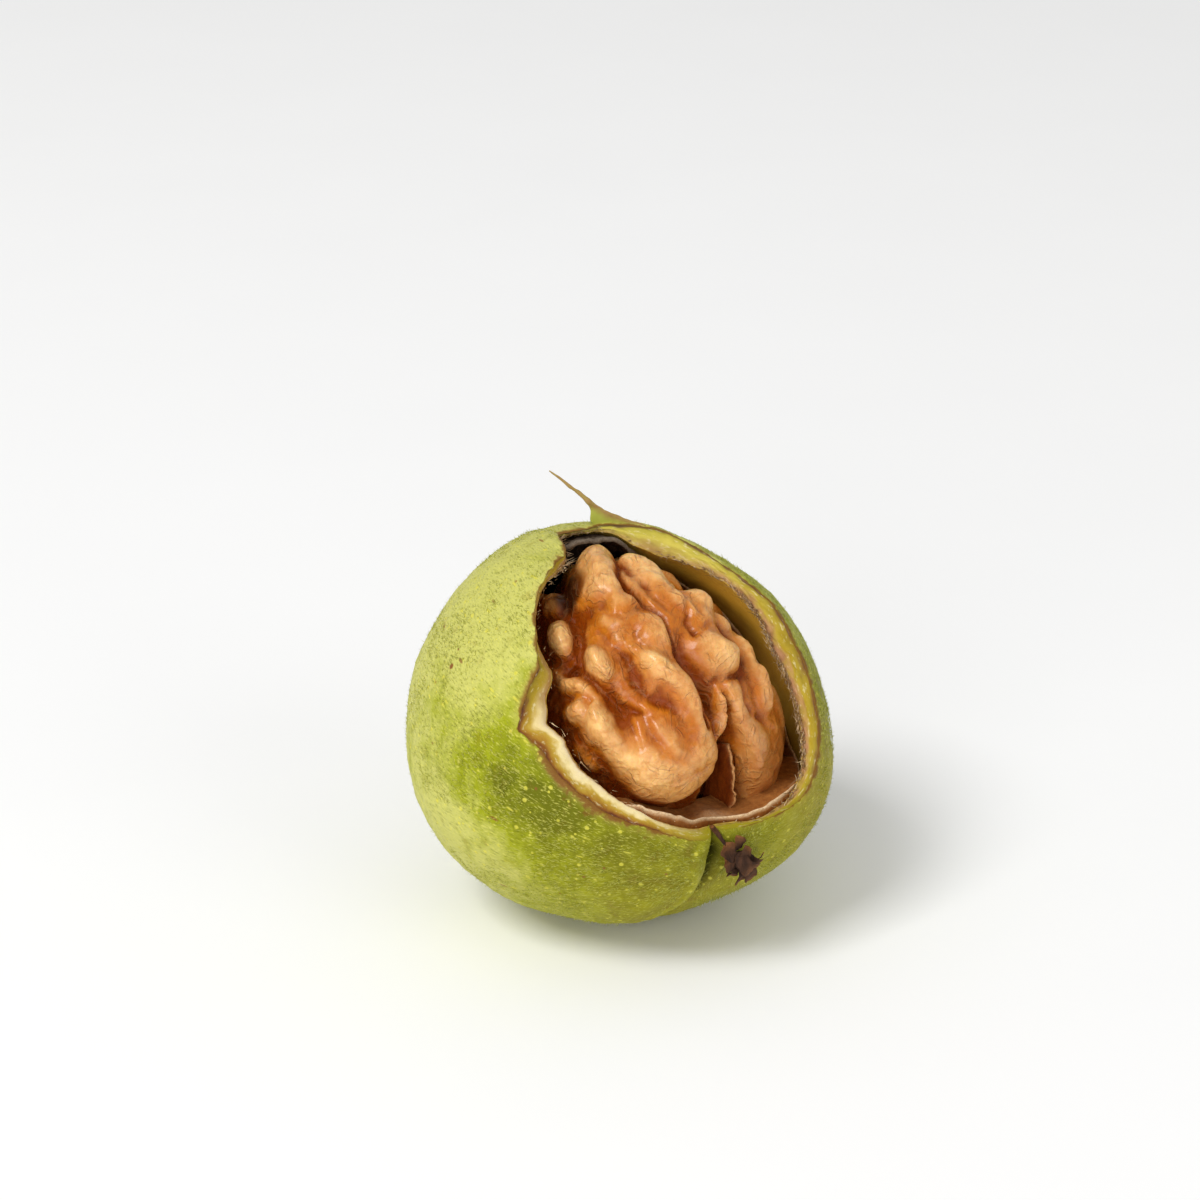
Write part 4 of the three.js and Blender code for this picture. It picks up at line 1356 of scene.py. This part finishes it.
class WALNUT_OT_husk(bpy.types.Operator):
    """Build the torn green husk with its crease and stalk scar"""

    bl_idname = "walnut.husk"
    bl_label = "Green Husk"

    # Where the green is deeper or paler: azimuth, elevation, how tight, how much.
    deep_parts = (
        (-114, 7, 9.0, 0.7),
        (-50, -25, 3.0, 0.45),
        (-84, -14, 14.0, 0.1),
        (-104, -30, 16.0, -0.1),
        (-97, -38, 12.0, 0.2),
        (-14, 16, 9.0, 0.35),
        (-24, -14, 8.0, -0.3),
        (-148, -15, 9.0, -0.22),
        (-135, -24, 12.0, -0.3),
        (-133, 38, 12.0, -0.35),
        (178, 50, 5.0, -0.45),
    )

    def execute(self, context):
        settings = context.scene.walnut_husk
        grid, profile, phi = husk_profile(settings.columns, settings.raggedness, settings.relief)
        phi = np.broadcast_to(phi, profile.shape)
        d = unit(grid)
        aside = from_crease(d)[0]
        turn, theta = mouth_angles(d)
        by_crease = between(theta, 49, 55, 78, 100)
        p = np.radians(phi)
        depth = 0.3
        for azimuth, elevation, spread, height in self.deep_parts:
            depth = depth + height * np.exp(spread * (d @ bearing(azimuth, elevation) - 1))
        # Painted shade: deeper green in the hollow right of the crease. Painted highlight: paler green
        # on the bulge's edge left of it.
        depth = depth + by_crease * (0.6 * bell(aside - 0.5, 1.2))
        depth = depth - by_crease * (0.35 * bell(aside + 1.6, 1.0))
        grain = skin_grain(d)
        values = {
            "profile": profile,
            "depth": depth,
            "bruise": 0.08 + 0.75 * along(RIM_LOOK, phi, 2),
            "warm": np.maximum(
                0.55 * np.exp(4 * (d @ bearing(-62, -38) - 1)),
                0.75 * np.exp(9 * (d @ bearing(-24, -10) - 1)),
            ),
            # Painted shade along the bottom of the crease.
            "slit": by_crease * bell(aside - 0.25, 0.6),
            # Painted glow on the inner wall, where light would come through the husk.
            "soaked": bell(turn - 102, 30) * (1 - smoothstep(theta, 78, 96)),
            "round_x": 0.3 * SKIN_RADIUS * np.cos(p),
            "round_y": 0.3 * SKIN_RADIUS * np.sin(p),
        }
        for column, name in ((1, "cream"), (3, "fibrous"), (4, "lime"), (5, "spread")):
            values[name] = along(RIM_LOOK, phi, column)
        for i, axis in enumerate("xyz"):
            values["grain_" + axis] = grain[..., i]
        closed_skin("husk_skin", grid, husk_finish(settings), "green_husk", values)
        return {"FINISHED"}


class WALNUT_OT_strand(bpy.types.Operator):
    """Build the strand of torn skin that stands up from the rim"""

    bl_idname = "walnut.strand"
    bl_label = "Torn Strand"

    def execute(self, context):
        rows, sides = 90, 16
        t = np.linspace(0, len(STRAND) - 1, rows)
        knots = np.arange(len(STRAND))
        path = np.stack([np.interp(t, knots, STRAND[:, i]) for i in range(5)], -1)
        for _ in range(4):
            path[1:-1] = (path[:-2] + path[1:-1] * 2 + path[2:]) / 4
        centre, width, hang = path[:, :3], path[:, 3], path[:, 4]
        forward = unit(np.gradient(centre, axis=0))
        side = unit(np.cross(forward, [0.0, -1.0, 0.0]))
        up = np.cross(forward, side)
        turn = evenly_round(sides)
        wide = width * (1 + 0.35 * noise(centre, 0.7, 32))
        below = np.minimum(np.cos(turn), 0)[None, :] * hang[:, None]
        height = np.cos(turn)[None, :] * wide[:, None] + below
        thin = np.sin(turn)[None, :] * 0.6 * wide[:, None]
        grid = centre[:, None, :] + height[..., None] * side[:, None, :]
        grid = grid + (thin + 0.12 * noise(grid, 0.8, 31))[..., None] * up[:, None, :]
        tone = 1 + 1.6 * below * (hang > 0.3)[:, None]
        green, brown = colour(0.36, 0.38, 0.05), colour(0.30, 0.17, 0.05)
        material = hair_finish("Torn strand", green, brown, 0.1)
        closed_skin("torn_strand", grid, material, values={"tone": np.clip(tone, 0, 1)})
        return {"FINISHED"}


class WALNUT_OT_fibres(bpy.types.Operator):
    """Scatter torn fibres along the inner edge of the tear"""

    bl_idname = "walnut.fibres"
    bl_label = "Torn Fibres"

    def execute(self, context):
        settings = context.scene.walnut_husk
        draw = np.random.default_rng(SEED)
        count = settings.fibres
        phi = draw.uniform(0, 360, count * 6)
        phi = phi[draw.random(len(phi)) < 0.02 + 0.8 * along(RIM_LOOK, phi, 3) ** 2][:count]
        count = len(phi)
        theta = along(FINE_RIM, phi, 1) - along(FINE_RIM, phi, 2) + draw.normal(0.6, 0.6, count)
        d = from_mouth(phi, theta)
        radius = husk_inner(d) + draw.uniform(0.0, 0.6, count)
        toward = unit(MOUTH - d * (d @ MOUTH)[:, None])
        along_rim = np.cross(d, toward) * np.where(draw.random(count) < 0.5, -1, 1)[:, None]
        spread = draw.random((count, 2))
        direction = unit(along_rim + (0.9 * spread[:, :1] - 0.2) * toward - 0.3 * spread[:, 1:] * d)
        bend = 0.35 * draw.normal(0, 1, (count, 3))
        length = draw.gamma(2.0, 0.3, count).clip(0.2, 1.8)
        width = draw.uniform(0.03, 0.11, count)
        hairs = spikes(d * radius[:, None], direction, length, width, bend, 4)
        tone = draw.random(count) ** 1.5
        material = hair_finish("Torn fibres", colour(0.2, 0.1, 0.03), colour(0.78, 0.58, 0.34), 0.0)
        hair_piece("torn_fibres", hairs, material, {"tone": tone})
        return {"FINISHED"}


class WALNUT_OT_down(bpy.types.Operator):
    """Scatter the fine down over the skin of the husk"""

    bl_idname = "walnut.down"
    bl_label = "Down"

    def execute(self, context):
        settings = context.scene.walnut_husk
        draw = np.random.default_rng(SEED + 1)
        count = settings.hairs
        d = unit(draw.normal(size=(count * 2, 3)))
        # None grow within 1.5 degrees of the tear, or within about 1 mm of the ground.
        phi, theta = mouth_angles(d)
        d = d[(theta > along(FINE_RIM, phi, 1) + 1.5) & (26 * d[:, 2] > 1 - HUSK_CENTRE[2])][:count]
        count = len(d)
        grain = unit(d * (d @ TIP)[:, None] - TIP)
        # Most lie along the grain. The others are thinner and stand up.
        lying = draw.random(count) < 0.85
        loose = np.where(lying, 0.3, 0.8)[:, None] * draw.normal(size=(count, 3))
        direction = unit(np.where(lying[:, None], grain + 0.12 * d, d) + loose)
        outward = (direction * d).sum(-1, keepdims=True)
        direction = unit(direction + np.maximum(0, 0.08 - outward) * d)
        length = settings.hair_length / MM * draw.uniform(0.5, 1.0, count)
        width = np.where(lying, draw.uniform(0.035, 0.06, count), 0.018)
        bend = 0.15 * draw.normal(size=(count, 3))
        roots = d * (husk_outer(d) - 0.03)[:, None]
        hairs = spikes(roots, direction, length, width, bend, 1)
        tone = draw.random(count)
        material = hair_finish("Down", colour(0.38, 0.40, 0.03), colour(0.62, 0.60, 0.15), 0.0)
        hair_piece("down", hairs, material, {"tone": tone})
        return {"FINISHED"}


def shell_rim(phi):
    """The torn rim of the thin shell: its table, with slow ragged noise laid over it."""
    ragged = 0.6 * round_noise(phi, 6.0, 2, 41) + 1.1 * round_noise(phi, 20.0, 2, 42)
    return along(softened(SHELL_RIM, 2.0), phi, 1) + ragged


def shell_lean(phi):
    """How far the shell's rim leans inwards, in mm."""
    middle, width, most = SHELL_LEAN
    return most * bell(turn_from(middle, phi), width)


class WALNUT_OT_shell(bpy.types.Operator):
    """Build what is left of the thin shell inside the husk, with its papery floor"""

    bl_idname = "walnut.shell"
    bl_label = "Thin Shell"

    def execute(self, context):
        material = papery_finish(
            "Thin shell",
            colour(0.27, 0.09, 0.018),
            colour(0.46, 0.18, 0.042),
            colour(0.82, 0.62, 0.38),
            0.75,
        )
        self.wall(material)
        self.floor(material)
        return {"FINISHED"}

    @staticmethod
    def wall(material):
        """The bowl of the shell, thinner towards its torn rim except at the top."""
        columns, rows = 480, 60
        phi = np.arange(columns) * 360 / columns
        rim = shell_rim(phi)
        theta = 180 + (rim - 180) * np.linspace(0, 1, rows + 1)[1:, None] ** 0.8
        d = from_mouth(drifted(phi, theta), theta)
        from_edge = np.radians(theta - rim) * SHELL_RADIUS
        top = between(phi, 136, 150, 184, 196)
        least = 0.2 + 0.45 * top
        wall = SHELL_WALL * (least + (1 - least) * smoothstep(from_edge, 0, 3.0))
        uneven = (0.1 + 0.2 * top) * noise(d * SHELL_RADIUS, 2.2, 43)
        uneven += (0.05 + 0.2 * top) * noise(d * SHELL_RADIUS, 0.7, 44)
        lean = shell_lean(phi) * (1 - smoothstep(from_edge, 0, 6.0))
        outer = husk_inner(d) - GAP + uneven - 0.1 - lean
        inside = d * (outer - wall)[..., None]
        grid = np.concatenate([inside, (d * outer[..., None])[::-1]])
        edge = np.exp(-from_edge / 0.2)
        weathered = np.broadcast_to(top, edge.shape)
        values = {
            "edge": np.concatenate([edge, edge[::-1]]),
            "weathered": np.concatenate([weathered, weathered[::-1]]),
        }
        closed_skin("thin_shell", grid, material, "shell", values)

    @staticmethod
    def floor(material):
        """A papery sheet that runs in from the rim at the tip side, and sinks as s^0.8."""
        rows, across = 150, 50
        phi = np.linspace(*FLOOR_TURNS, rows)[:, None]
        share = np.linspace(0, 1, across)[None, :] ** 1.4
        rim = shell_rim(phi)
        meets = bell(phi - 361, 7)
        theta = rim + 1.6 + 6 * share**0.8 - 3.0 * meets * smoothstep(share, 0.05, 0.45)
        d = from_mouth(phi, theta)
        rim_radius = husk_inner(d) - GAP - 0.2 - shell_lean(phi)
        radius = rim_radius + (FLOOR_RADIUS - rim_radius) * share
        wrinkled = noises(d * 40, (0.16, 2.4, 46), (0.1, 0.9, 47))
        middle = d * radius[..., None] + (wrinkled * smoothstep(share, 0, 0.1))[..., None] * MOUTH
        half = FLOOR_THICKNESS / 2 * MOUTH
        grid = two_sided(middle - half, middle + half)
        edge = 0.9 * meets * np.exp(-share / 0.25) + 0.3 * np.exp(-share / 0.03)
        values = {"edge": two_sided(edge, edge), "weathered": 0.0}
        closed_skin("shell_floor", grid, material, values=values)


class WALNUT_OT_kernel(bpy.types.Operator):
    """Build the kernel with its two wrinkled lobes"""

    bl_idname = "walnut.kernel"
    bl_label = "Kernel"

    def execute(self, context):
        settings = context.scene.walnut_kernel
        rows, columns = settings.rows, settings.columns
        # Poles lie left and right, under the husk, and columns crowd towards the mouth.
        share = (np.arange(columns) + 0.5) / columns * 2 - 1
        longitude = np.radians(180 * share * (0.55 + 0.45 * share**2))[None, :]
        level = np.linspace(-1, 1, rows + 2)[1:-1, None]
        latitude = np.radians(90 * level * (0.7 + 0.3 * level**2))
        d = (
            np.sin(latitude)[..., None] * MOUTH_TO_RIGHT
            + (np.cos(latitude) * np.cos(longitude))[..., None] * MOUTH
            + (np.cos(latitude) * np.sin(longitude))[..., None] * MOUTH_TO_TIP
        )
        place = d * KERNEL_RADIUS
        warp = np.stack([noise(place, 4.0, 50 + i) for i in range(3)], -1)
        warp += 0.35 * np.stack([noise(place, 1.6, 53 + i) for i in range(3)], -1)
        bent = unit(place + 0.45 * warp)
        lines = line_relief(KERNEL_RADIUS * bent, KERNEL_RADIUS, KERNEL_LINES)
        deep = np.clip(-lines / 0.8, 0, 1)
        lumps = fractal(place + 0.8 * warp, 2.4, 3, 60)
        ridges = 1 - 2 * np.abs(noise(place + 0.9 * warp, 2.2, 63))
        crinkles = 1 - 2 * np.abs(noise(place + 0.5 * warp, 0.9, 66))
        billows = 2 * np.abs(noise(place + 1.1 * warp, 3.4, 69)) - 0.6
        wrinkles = (0.15 + 0.1 * deep) * lumps + (0.1 + 0.1 * deep) * ridges
        wrinkles += 0.22 * billows + 0.05 * crinkles
        radius = kernel_radius(bent) + lines + settings.wrinkles * wrinkles
        radius = held_within(self.groove(d, radius), kernel_limit(d))
        # How far the surface lies under its own averages, over a small and a wide patch. The valley
        # value darkens the skin there as painted shade, on top of its own deeper tone.
        hollow = blurred(radius, 5, 8) - radius
        wide = blurred(radius, 14, 22) - radius
        low = smoothstep(-radius, -20.6, -18.2)
        raised = smoothstep(-hollow - 0.4 * wide, 0.15, 0.85)
        values = {
            # Valleys: the skin's own deeper tone, with painted shade.
            "valley": np.clip(1.5 * hollow + 0.5 * wide + 0.8 * low, 0, 1),
            # Crests: paler partly as the skin's own tone and partly as painted highlight.
            "crest": np.clip(0.55 * raised + self.pale_and_highlight_places(d), 0, 1),
            # Painted shade: darkest where the surface sinks lowest, and in the gap left of the upper
            # lobe.
            "sunk": np.maximum(0.4 * smoothstep(-radius, -18.4, -17.0), self.gap_shade(d)),
            "browner": 0.85 * np.exp(16 * (d @ from_mouth(40, 54) - 1)),
        }
        material = kernel_finish(settings)
        closed_skin("kernel_lobes", d * radius[..., None], material, "kernel", values)
        return {"FINISHED"}

    @staticmethod
    def gap_shade(d):
        """How far a direction lies in the painted shade of the gap left of the upper lobe, from 0 to
        1.
        """
        rim, middle = np.cos(np.radians((8.5, 3)))
        return 0.97 * smoothstep(d @ from_mouth(187, 55), rim, middle)

    # Where the skin is palest, partly its own tone and partly painted highlight: phi, theta, half
    # width in degrees, how much.
    pale_and_highlight_parts = (
        (150, 51, 10, 0.85),
        (126, 40, 7, 0.3),
        (92, 25, 8, 0.4),
        (100, 42, 8, 0.25),
        (165, 64, 12, 0.3),
        (170, 42, 8, 0.35),
        (181, 9, 6, 0.45),
        (224, 24, 5, 0.4),
        (308, 28, 6, 0.65),
        (330, 31, 6, 0.35),
        (271, 24, 5, 0.6),
        (208, 43, 6, 0.8),
    )

    @classmethod
    def pale_and_highlight_places(cls, d):
        """The palest places, partly painted highlight, as a sum of h exp(-(angle/w)^2)."""
        total = 0.0
        for phi, theta, width, height in cls.pale_and_highlight_parts:
            angle = np.degrees(angle_from(from_mouth(phi, theta), d))
            total = total + height * bell(angle, width)
        return total

    @staticmethod
    def groove(d, radius):
        """The deep groove between the lobes at the tip end, which the partition stands in.

        It is cut down to a radius, by exp(-(s/w)^4) of the distance s from its middle plane,
        and closes towards the top end.
        """
        angle = np.degrees(np.arctan2(d @ PARTITION_TO_TOP, d @ PARTITION_TO_TIP))
        across = 18.5 * (d @ PARTITION_NORMAL) - PARTITION_OFFSET
        closing = smoothstep(angle, 18, 42)
        centre = -0.75 * (1 - closing)
        width = 1.55 * (1 - closing) + 0.35
        deep = np.exp(-(((across - centre) / width) ** 4))
        deep *= between(angle, -34, -14, 38, 52)
        return radius - deep * np.maximum(0, radius - 15.0 - 3.5 * closing)


class WALNUT_OT_partition(bpy.types.Operator):
    """Build the papery partition between the lobes"""

    bl_idname = "walnut.partition"
    bl_label = "Partition"

    def execute(self, context):
        steps, across = 90, 40
        angle = np.linspace(*PARTITION_ANGLES, steps)[:, None]
        share = np.linspace(0, 1, across)[None, :]
        taper = 1 - 0.06 * smoothstep(angle, 10, 20) - 0.3 * smoothstep(angle, 18, 27)
        inner, outer = PARTITION_RADII
        round_edge = np.stack([angle, 0 * angle, 0 * angle], -1)
        torn = 0.22 * noise(round_edge, 1.4, 71)
        radius = inner + (outer + torn - inner) * taper * share
        a = np.radians(angle)
        outward = np.cos(a)[..., None] * PARTITION_TO_TIP + np.sin(a)[..., None] * PARTITION_TO_TOP
        flat = radius[..., None] * outward
        wave = noises(flat, (0.22, 3.0, 72), (0.1, 1.1, 73))
        curl = 0.55 * share**4 * noise(round_edge, 4.0, 74)
        middle = flat + (PARTITION_OFFSET + wave * share + curl)[..., None] * PARTITION_NORMAL
        half = (0.26 - 0.12 * share + 0.06 * noise(flat, 0.6, 75))[..., None] * PARTITION_NORMAL
        grid = two_sided(middle - half, middle + half)
        edge = np.broadcast_to(share**24, flat.shape[:2])
        values = {"edge": two_sided(edge, edge), "weathered": 0.0}
        # Dark red-browns: partly the partition's own colour and partly painted shade of the groove it
        # stands in.
        material = papery_finish(
            "Partition",
            colour(0.13, 0.020, 0.002),
            colour(0.30, 0.065, 0.006),
            colour(0.62, 0.32, 0.12),
            0.6,
        )
        closed_skin("papery_partition", grid, material, "partition", values)
        return {"FINISHED"}


class WALNUT_OT_blossom(bpy.types.Operator):
    """Build the dried blossom on the tip"""

    bl_idname = "walnut.blossom"
    bl_label = "Dried Blossom"

    # Flakes: root and tip as places across, down and above the skin at the tip, and half width.
    flakes = (
        ((-0.6, 0.0, 0.9), (-0.5, 3.2, 2.1), 1.05),
        ((0.2, 0.0, 0.9), (1.0, 3.8, 2.1), 1.05),
        ((0.4, -0.4, 0.7), (2.1, 1.8, 1.4), 1.05),
        ((-0.4, -1.4, 0.9), (0.6, 1.6, 1.7), 1.25),
        ((-0.6, -0.6, 0.7), (0.9, -2.0, 1.1), 0.95),
        ((-0.8, -0.2, 0.6), (-1.5, -2.6, 0.6), 1.05),
        ((-0.9, 0.6, 0.6), (-1.9, -0.6, 0.7), 1.0),
        ((-1.2, -2.0, 0.4), (-2.6, -5.4, 0.2), 0.32),
        ((-0.2, -1.5, 0.5), (0.0, -3.6, 0.8), 0.7),
        ((-0.9, 0.8, 0.6), (-1.7, 2.2, 1.0), 0.85),
        ((1.2, 0.4, 1.1), (3.0, 0.4, 1.3), 0.1),
    )

    def execute(self, context):
        across = square_to(MOUTH_TO_RIGHT, TIP)
        down = np.cross(across, TIP)
        rows, sides = 28, 16
        t = np.linspace(0, 1, rows)
        turn = evenly_round(sides)
        points, faces, edges = [], [], []
        for number, (root, tip, half) in enumerate(self.flakes):
            run = np.array(root) + t[:, None] * (np.array(tip) - np.array(root))
            run[:, 2] += 0.35 * np.sin(np.pi * t)
            line = run[:, :1] * across + run[:, 1:2] * down
            out = unit(line[-1] - line[0])
            side = np.cross(TIP, out)
            line = line + 0.2 * half * np.sin(5 * t + number)[:, None] * side
            seat = unit(TIP * SKIN_RADIUS + line)
            above = run[:, 2] + 0.15 * noise(line, 1.0, 80 + number)
            centre = seat * (husk_outer(seat) + above)[:, None]
            # Narrow at the root, widest near the end, and cut off there raggedly.
            wide = half * (0.5 + 0.8 * t - 0.35 * t**4) * np.sqrt(1.02 - t**12)
            wide = wide * (1 + 0.2 * noise(np.stack([4 * t, 0 * t + number, 0 * t], -1), 0.8, 97))
            ring = np.cos(turn)[None, :, None] * (wide[:, None] * side)[:, None, :]
            thick = 0.2 * (1 - 0.55 * t) * min(1, half + 0.3)
            ring = ring + np.sin(turn)[None, :, None] * (thick[:, None] * seat)[:, None, :]
            cup = 0.35 * (np.cos(turn) ** 2)[None, :, None] * (wide[:, None] * seat)[:, None, :]
            grid = centre[:, None, :] + ring + cup
            torn = t[:, None, None] ** 6 * 0.5 * half * noise(grid, 0.5, 98)[..., None] * out
            grid = grid + torn + 0.12 * noise(grid, 0.5, 90 + number)[..., None] * seat[:, None, :]
            flake, corners, values = closed_grid(grid, {"edge": (t**4)[:, None]})
            points.append(flake)
            faces.append(corners[:, ::-1] + number * len(flake))
            edges.append(values["edge"])
        material = papery_finish(
            "Dried blossom",
            colour(0.018, 0.009, 0.006),
            colour(0.075, 0.032, 0.016),
            colour(0.26, 0.10, 0.03),
            0.75,
        )
        make_piece(
            "dried_blossom_flakes",
            np.concatenate(points),
            np.concatenate(faces),
            material,
            "dried_blossom",
            {"edge": np.concatenate(edges), "weathered": 0.0},
        )
        return {"FINISHED"}


def soft_light(name, place, size, power, target):
    """A square area light that faces a point. Places are in metres."""
    data = bpy.data.lights.new(name, "AREA")
    data.shape = "SQUARE"
    data.size = size
    data.energy = power
    light = add_object(name, data)
    light.location = place
    light.rotation_euler = (target - light.location).to_track_quat("-Z", "Y").to_euler()


class WALNUT_OT_stage(bpy.types.Operator):
    """Set the floor, the soft lights, the surroundings and the camera"""

    bl_idname = "walnut.stage"
    bl_label = "Stage"

    # Soft lights: name, place in metres, side in metres.
    lights = (
        ("key", (-0.95, -0.9, 1.6), 0.8),
        ("fill", (1.4, -1.3, 0.8), 1.2),
        ("low", (-0.6, -1.6, 0.45), 0.9),
    )
    # The floor's two tones: place on a ramp, red, green, blue.
    floor_tones = ((0.0, 0.96, 0.96, 0.955), (1.0, 0.98, 0.98, 0.975))
    floor_half_size = 4.0
    # How far to the left of the husk's centre and above it the view looks, in metres.
    view_left, view_up = 2.372 * MM, 15.77 * MM

    def execute(self, context):
        settings = context.scene.walnut_stage
        scene = context.scene
        scene.view_settings.view_transform = "Standard"
        target = Vector(HUSK_CENTRE * MM)

        mesh = bpy.data.meshes.new("floor")
        size = self.floor_half_size
        corners = [(-size, -size, 0), (size, -size, 0), (size, size, 0), (-size, size, 0)]
        mesh.from_pydata(corners, [], [(0, 1, 2, 3)])

        def build(n):
            return {"Base Color": n.ramp(n.cloud(n.millimetres(), 40.0), self.floor_tones)}

        mesh.materials.append(finish("Pale floor", {"Roughness": 0.9}, build))
        floor = add_object("floor", mesh)

        world = bpy.data.worlds.new("Pale surroundings")
        world.use_nodes = True
        background = world.node_tree.nodes["Background"]
        background.inputs["Color"].default_value = colour(1.0, 1.0, 1.0)
        background.inputs["Strength"].default_value = settings.world
        scene.world = world

        for name, place, size in self.lights:
            soft_light(name, place, size, getattr(settings, name), target)

        data = bpy.data.cameras.new("camera")
        data.lens = settings.lens
        data.clip_start = 0.01
        camera = add_object("camera", data)
        elevation = settings.elevation
        up = Vector((0, np.sin(elevation), np.cos(elevation)))
        toward = Vector((0, -np.cos(elevation), np.sin(elevation)))
        aside = Vector((-self.view_left, 0, 0)) + up * self.view_up
        camera.location = target + toward * settings.distance + aside
        camera.rotation_euler = (np.pi / 2 - elevation, 0, 0)
        scene.camera = camera
        return {"FINISHED"}


class WALNUT_PT_panel(bpy.types.Panel):
    """The walnut's settings and the buttons that build its pieces"""

    bl_label = "Walnut in its Husk"
    bl_idname = "WALNUT_PT_panel"
    bl_space_type = "VIEW_3D"
    bl_region_type = "UI"
    bl_category = "Walnut"

    def draw(self, context):
        layout = self.layout
        for group, operators in PANEL:
            box = layout.box()
            if group:
                settings = getattr(context.scene, group)
                for name in settings.bl_rna.properties.keys():
                    if name not in ("rna_type", "name"):
                        box.prop(settings, name)
            for operator in operators:
                box.operator(operator.bl_idname)


PANEL = (
    ("walnut_husk", (WALNUT_OT_husk, WALNUT_OT_strand, WALNUT_OT_fibres, WALNUT_OT_down)),
    ("walnut_kernel", (WALNUT_OT_kernel,)),
    ("", (WALNUT_OT_shell, WALNUT_OT_partition, WALNUT_OT_blossom)),
    ("walnut_stage", (WALNUT_OT_stage,)),
)
GROUPS = {
    "walnut_husk": HuskSettings,
    "walnut_kernel": KernelSettings,
    "walnut_stage": StageSettings,
}
OPERATORS = [operator for _, operators in PANEL for operator in operators]


def register():
    """Register the settings, the operators and the panel."""
    for name, group in GROUPS.items():
        bpy.utils.register_class(group)
        setattr(bpy.types.Scene, name, bpy.props.PointerProperty(type=group))
    for operator in OPERATORS:
        bpy.utils.register_class(operator)
    bpy.utils.register_class(WALNUT_PT_panel)


def unregister():
    """Undo register."""
    bpy.utils.unregister_class(WALNUT_PT_panel)
    for operator in reversed(OPERATORS):
        bpy.utils.unregister_class(operator)
    for name, group in GROUPS.items():
        delattr(bpy.types.Scene, name)
        bpy.utils.unregister_class(group)


def main():
    """Build every piece in order."""
    register()
    for operator in OPERATORS:
        area, name = operator.bl_idname.split(".")
        getattr(getattr(bpy.ops, area), name)()


if __name__ == "__main__":
    main()
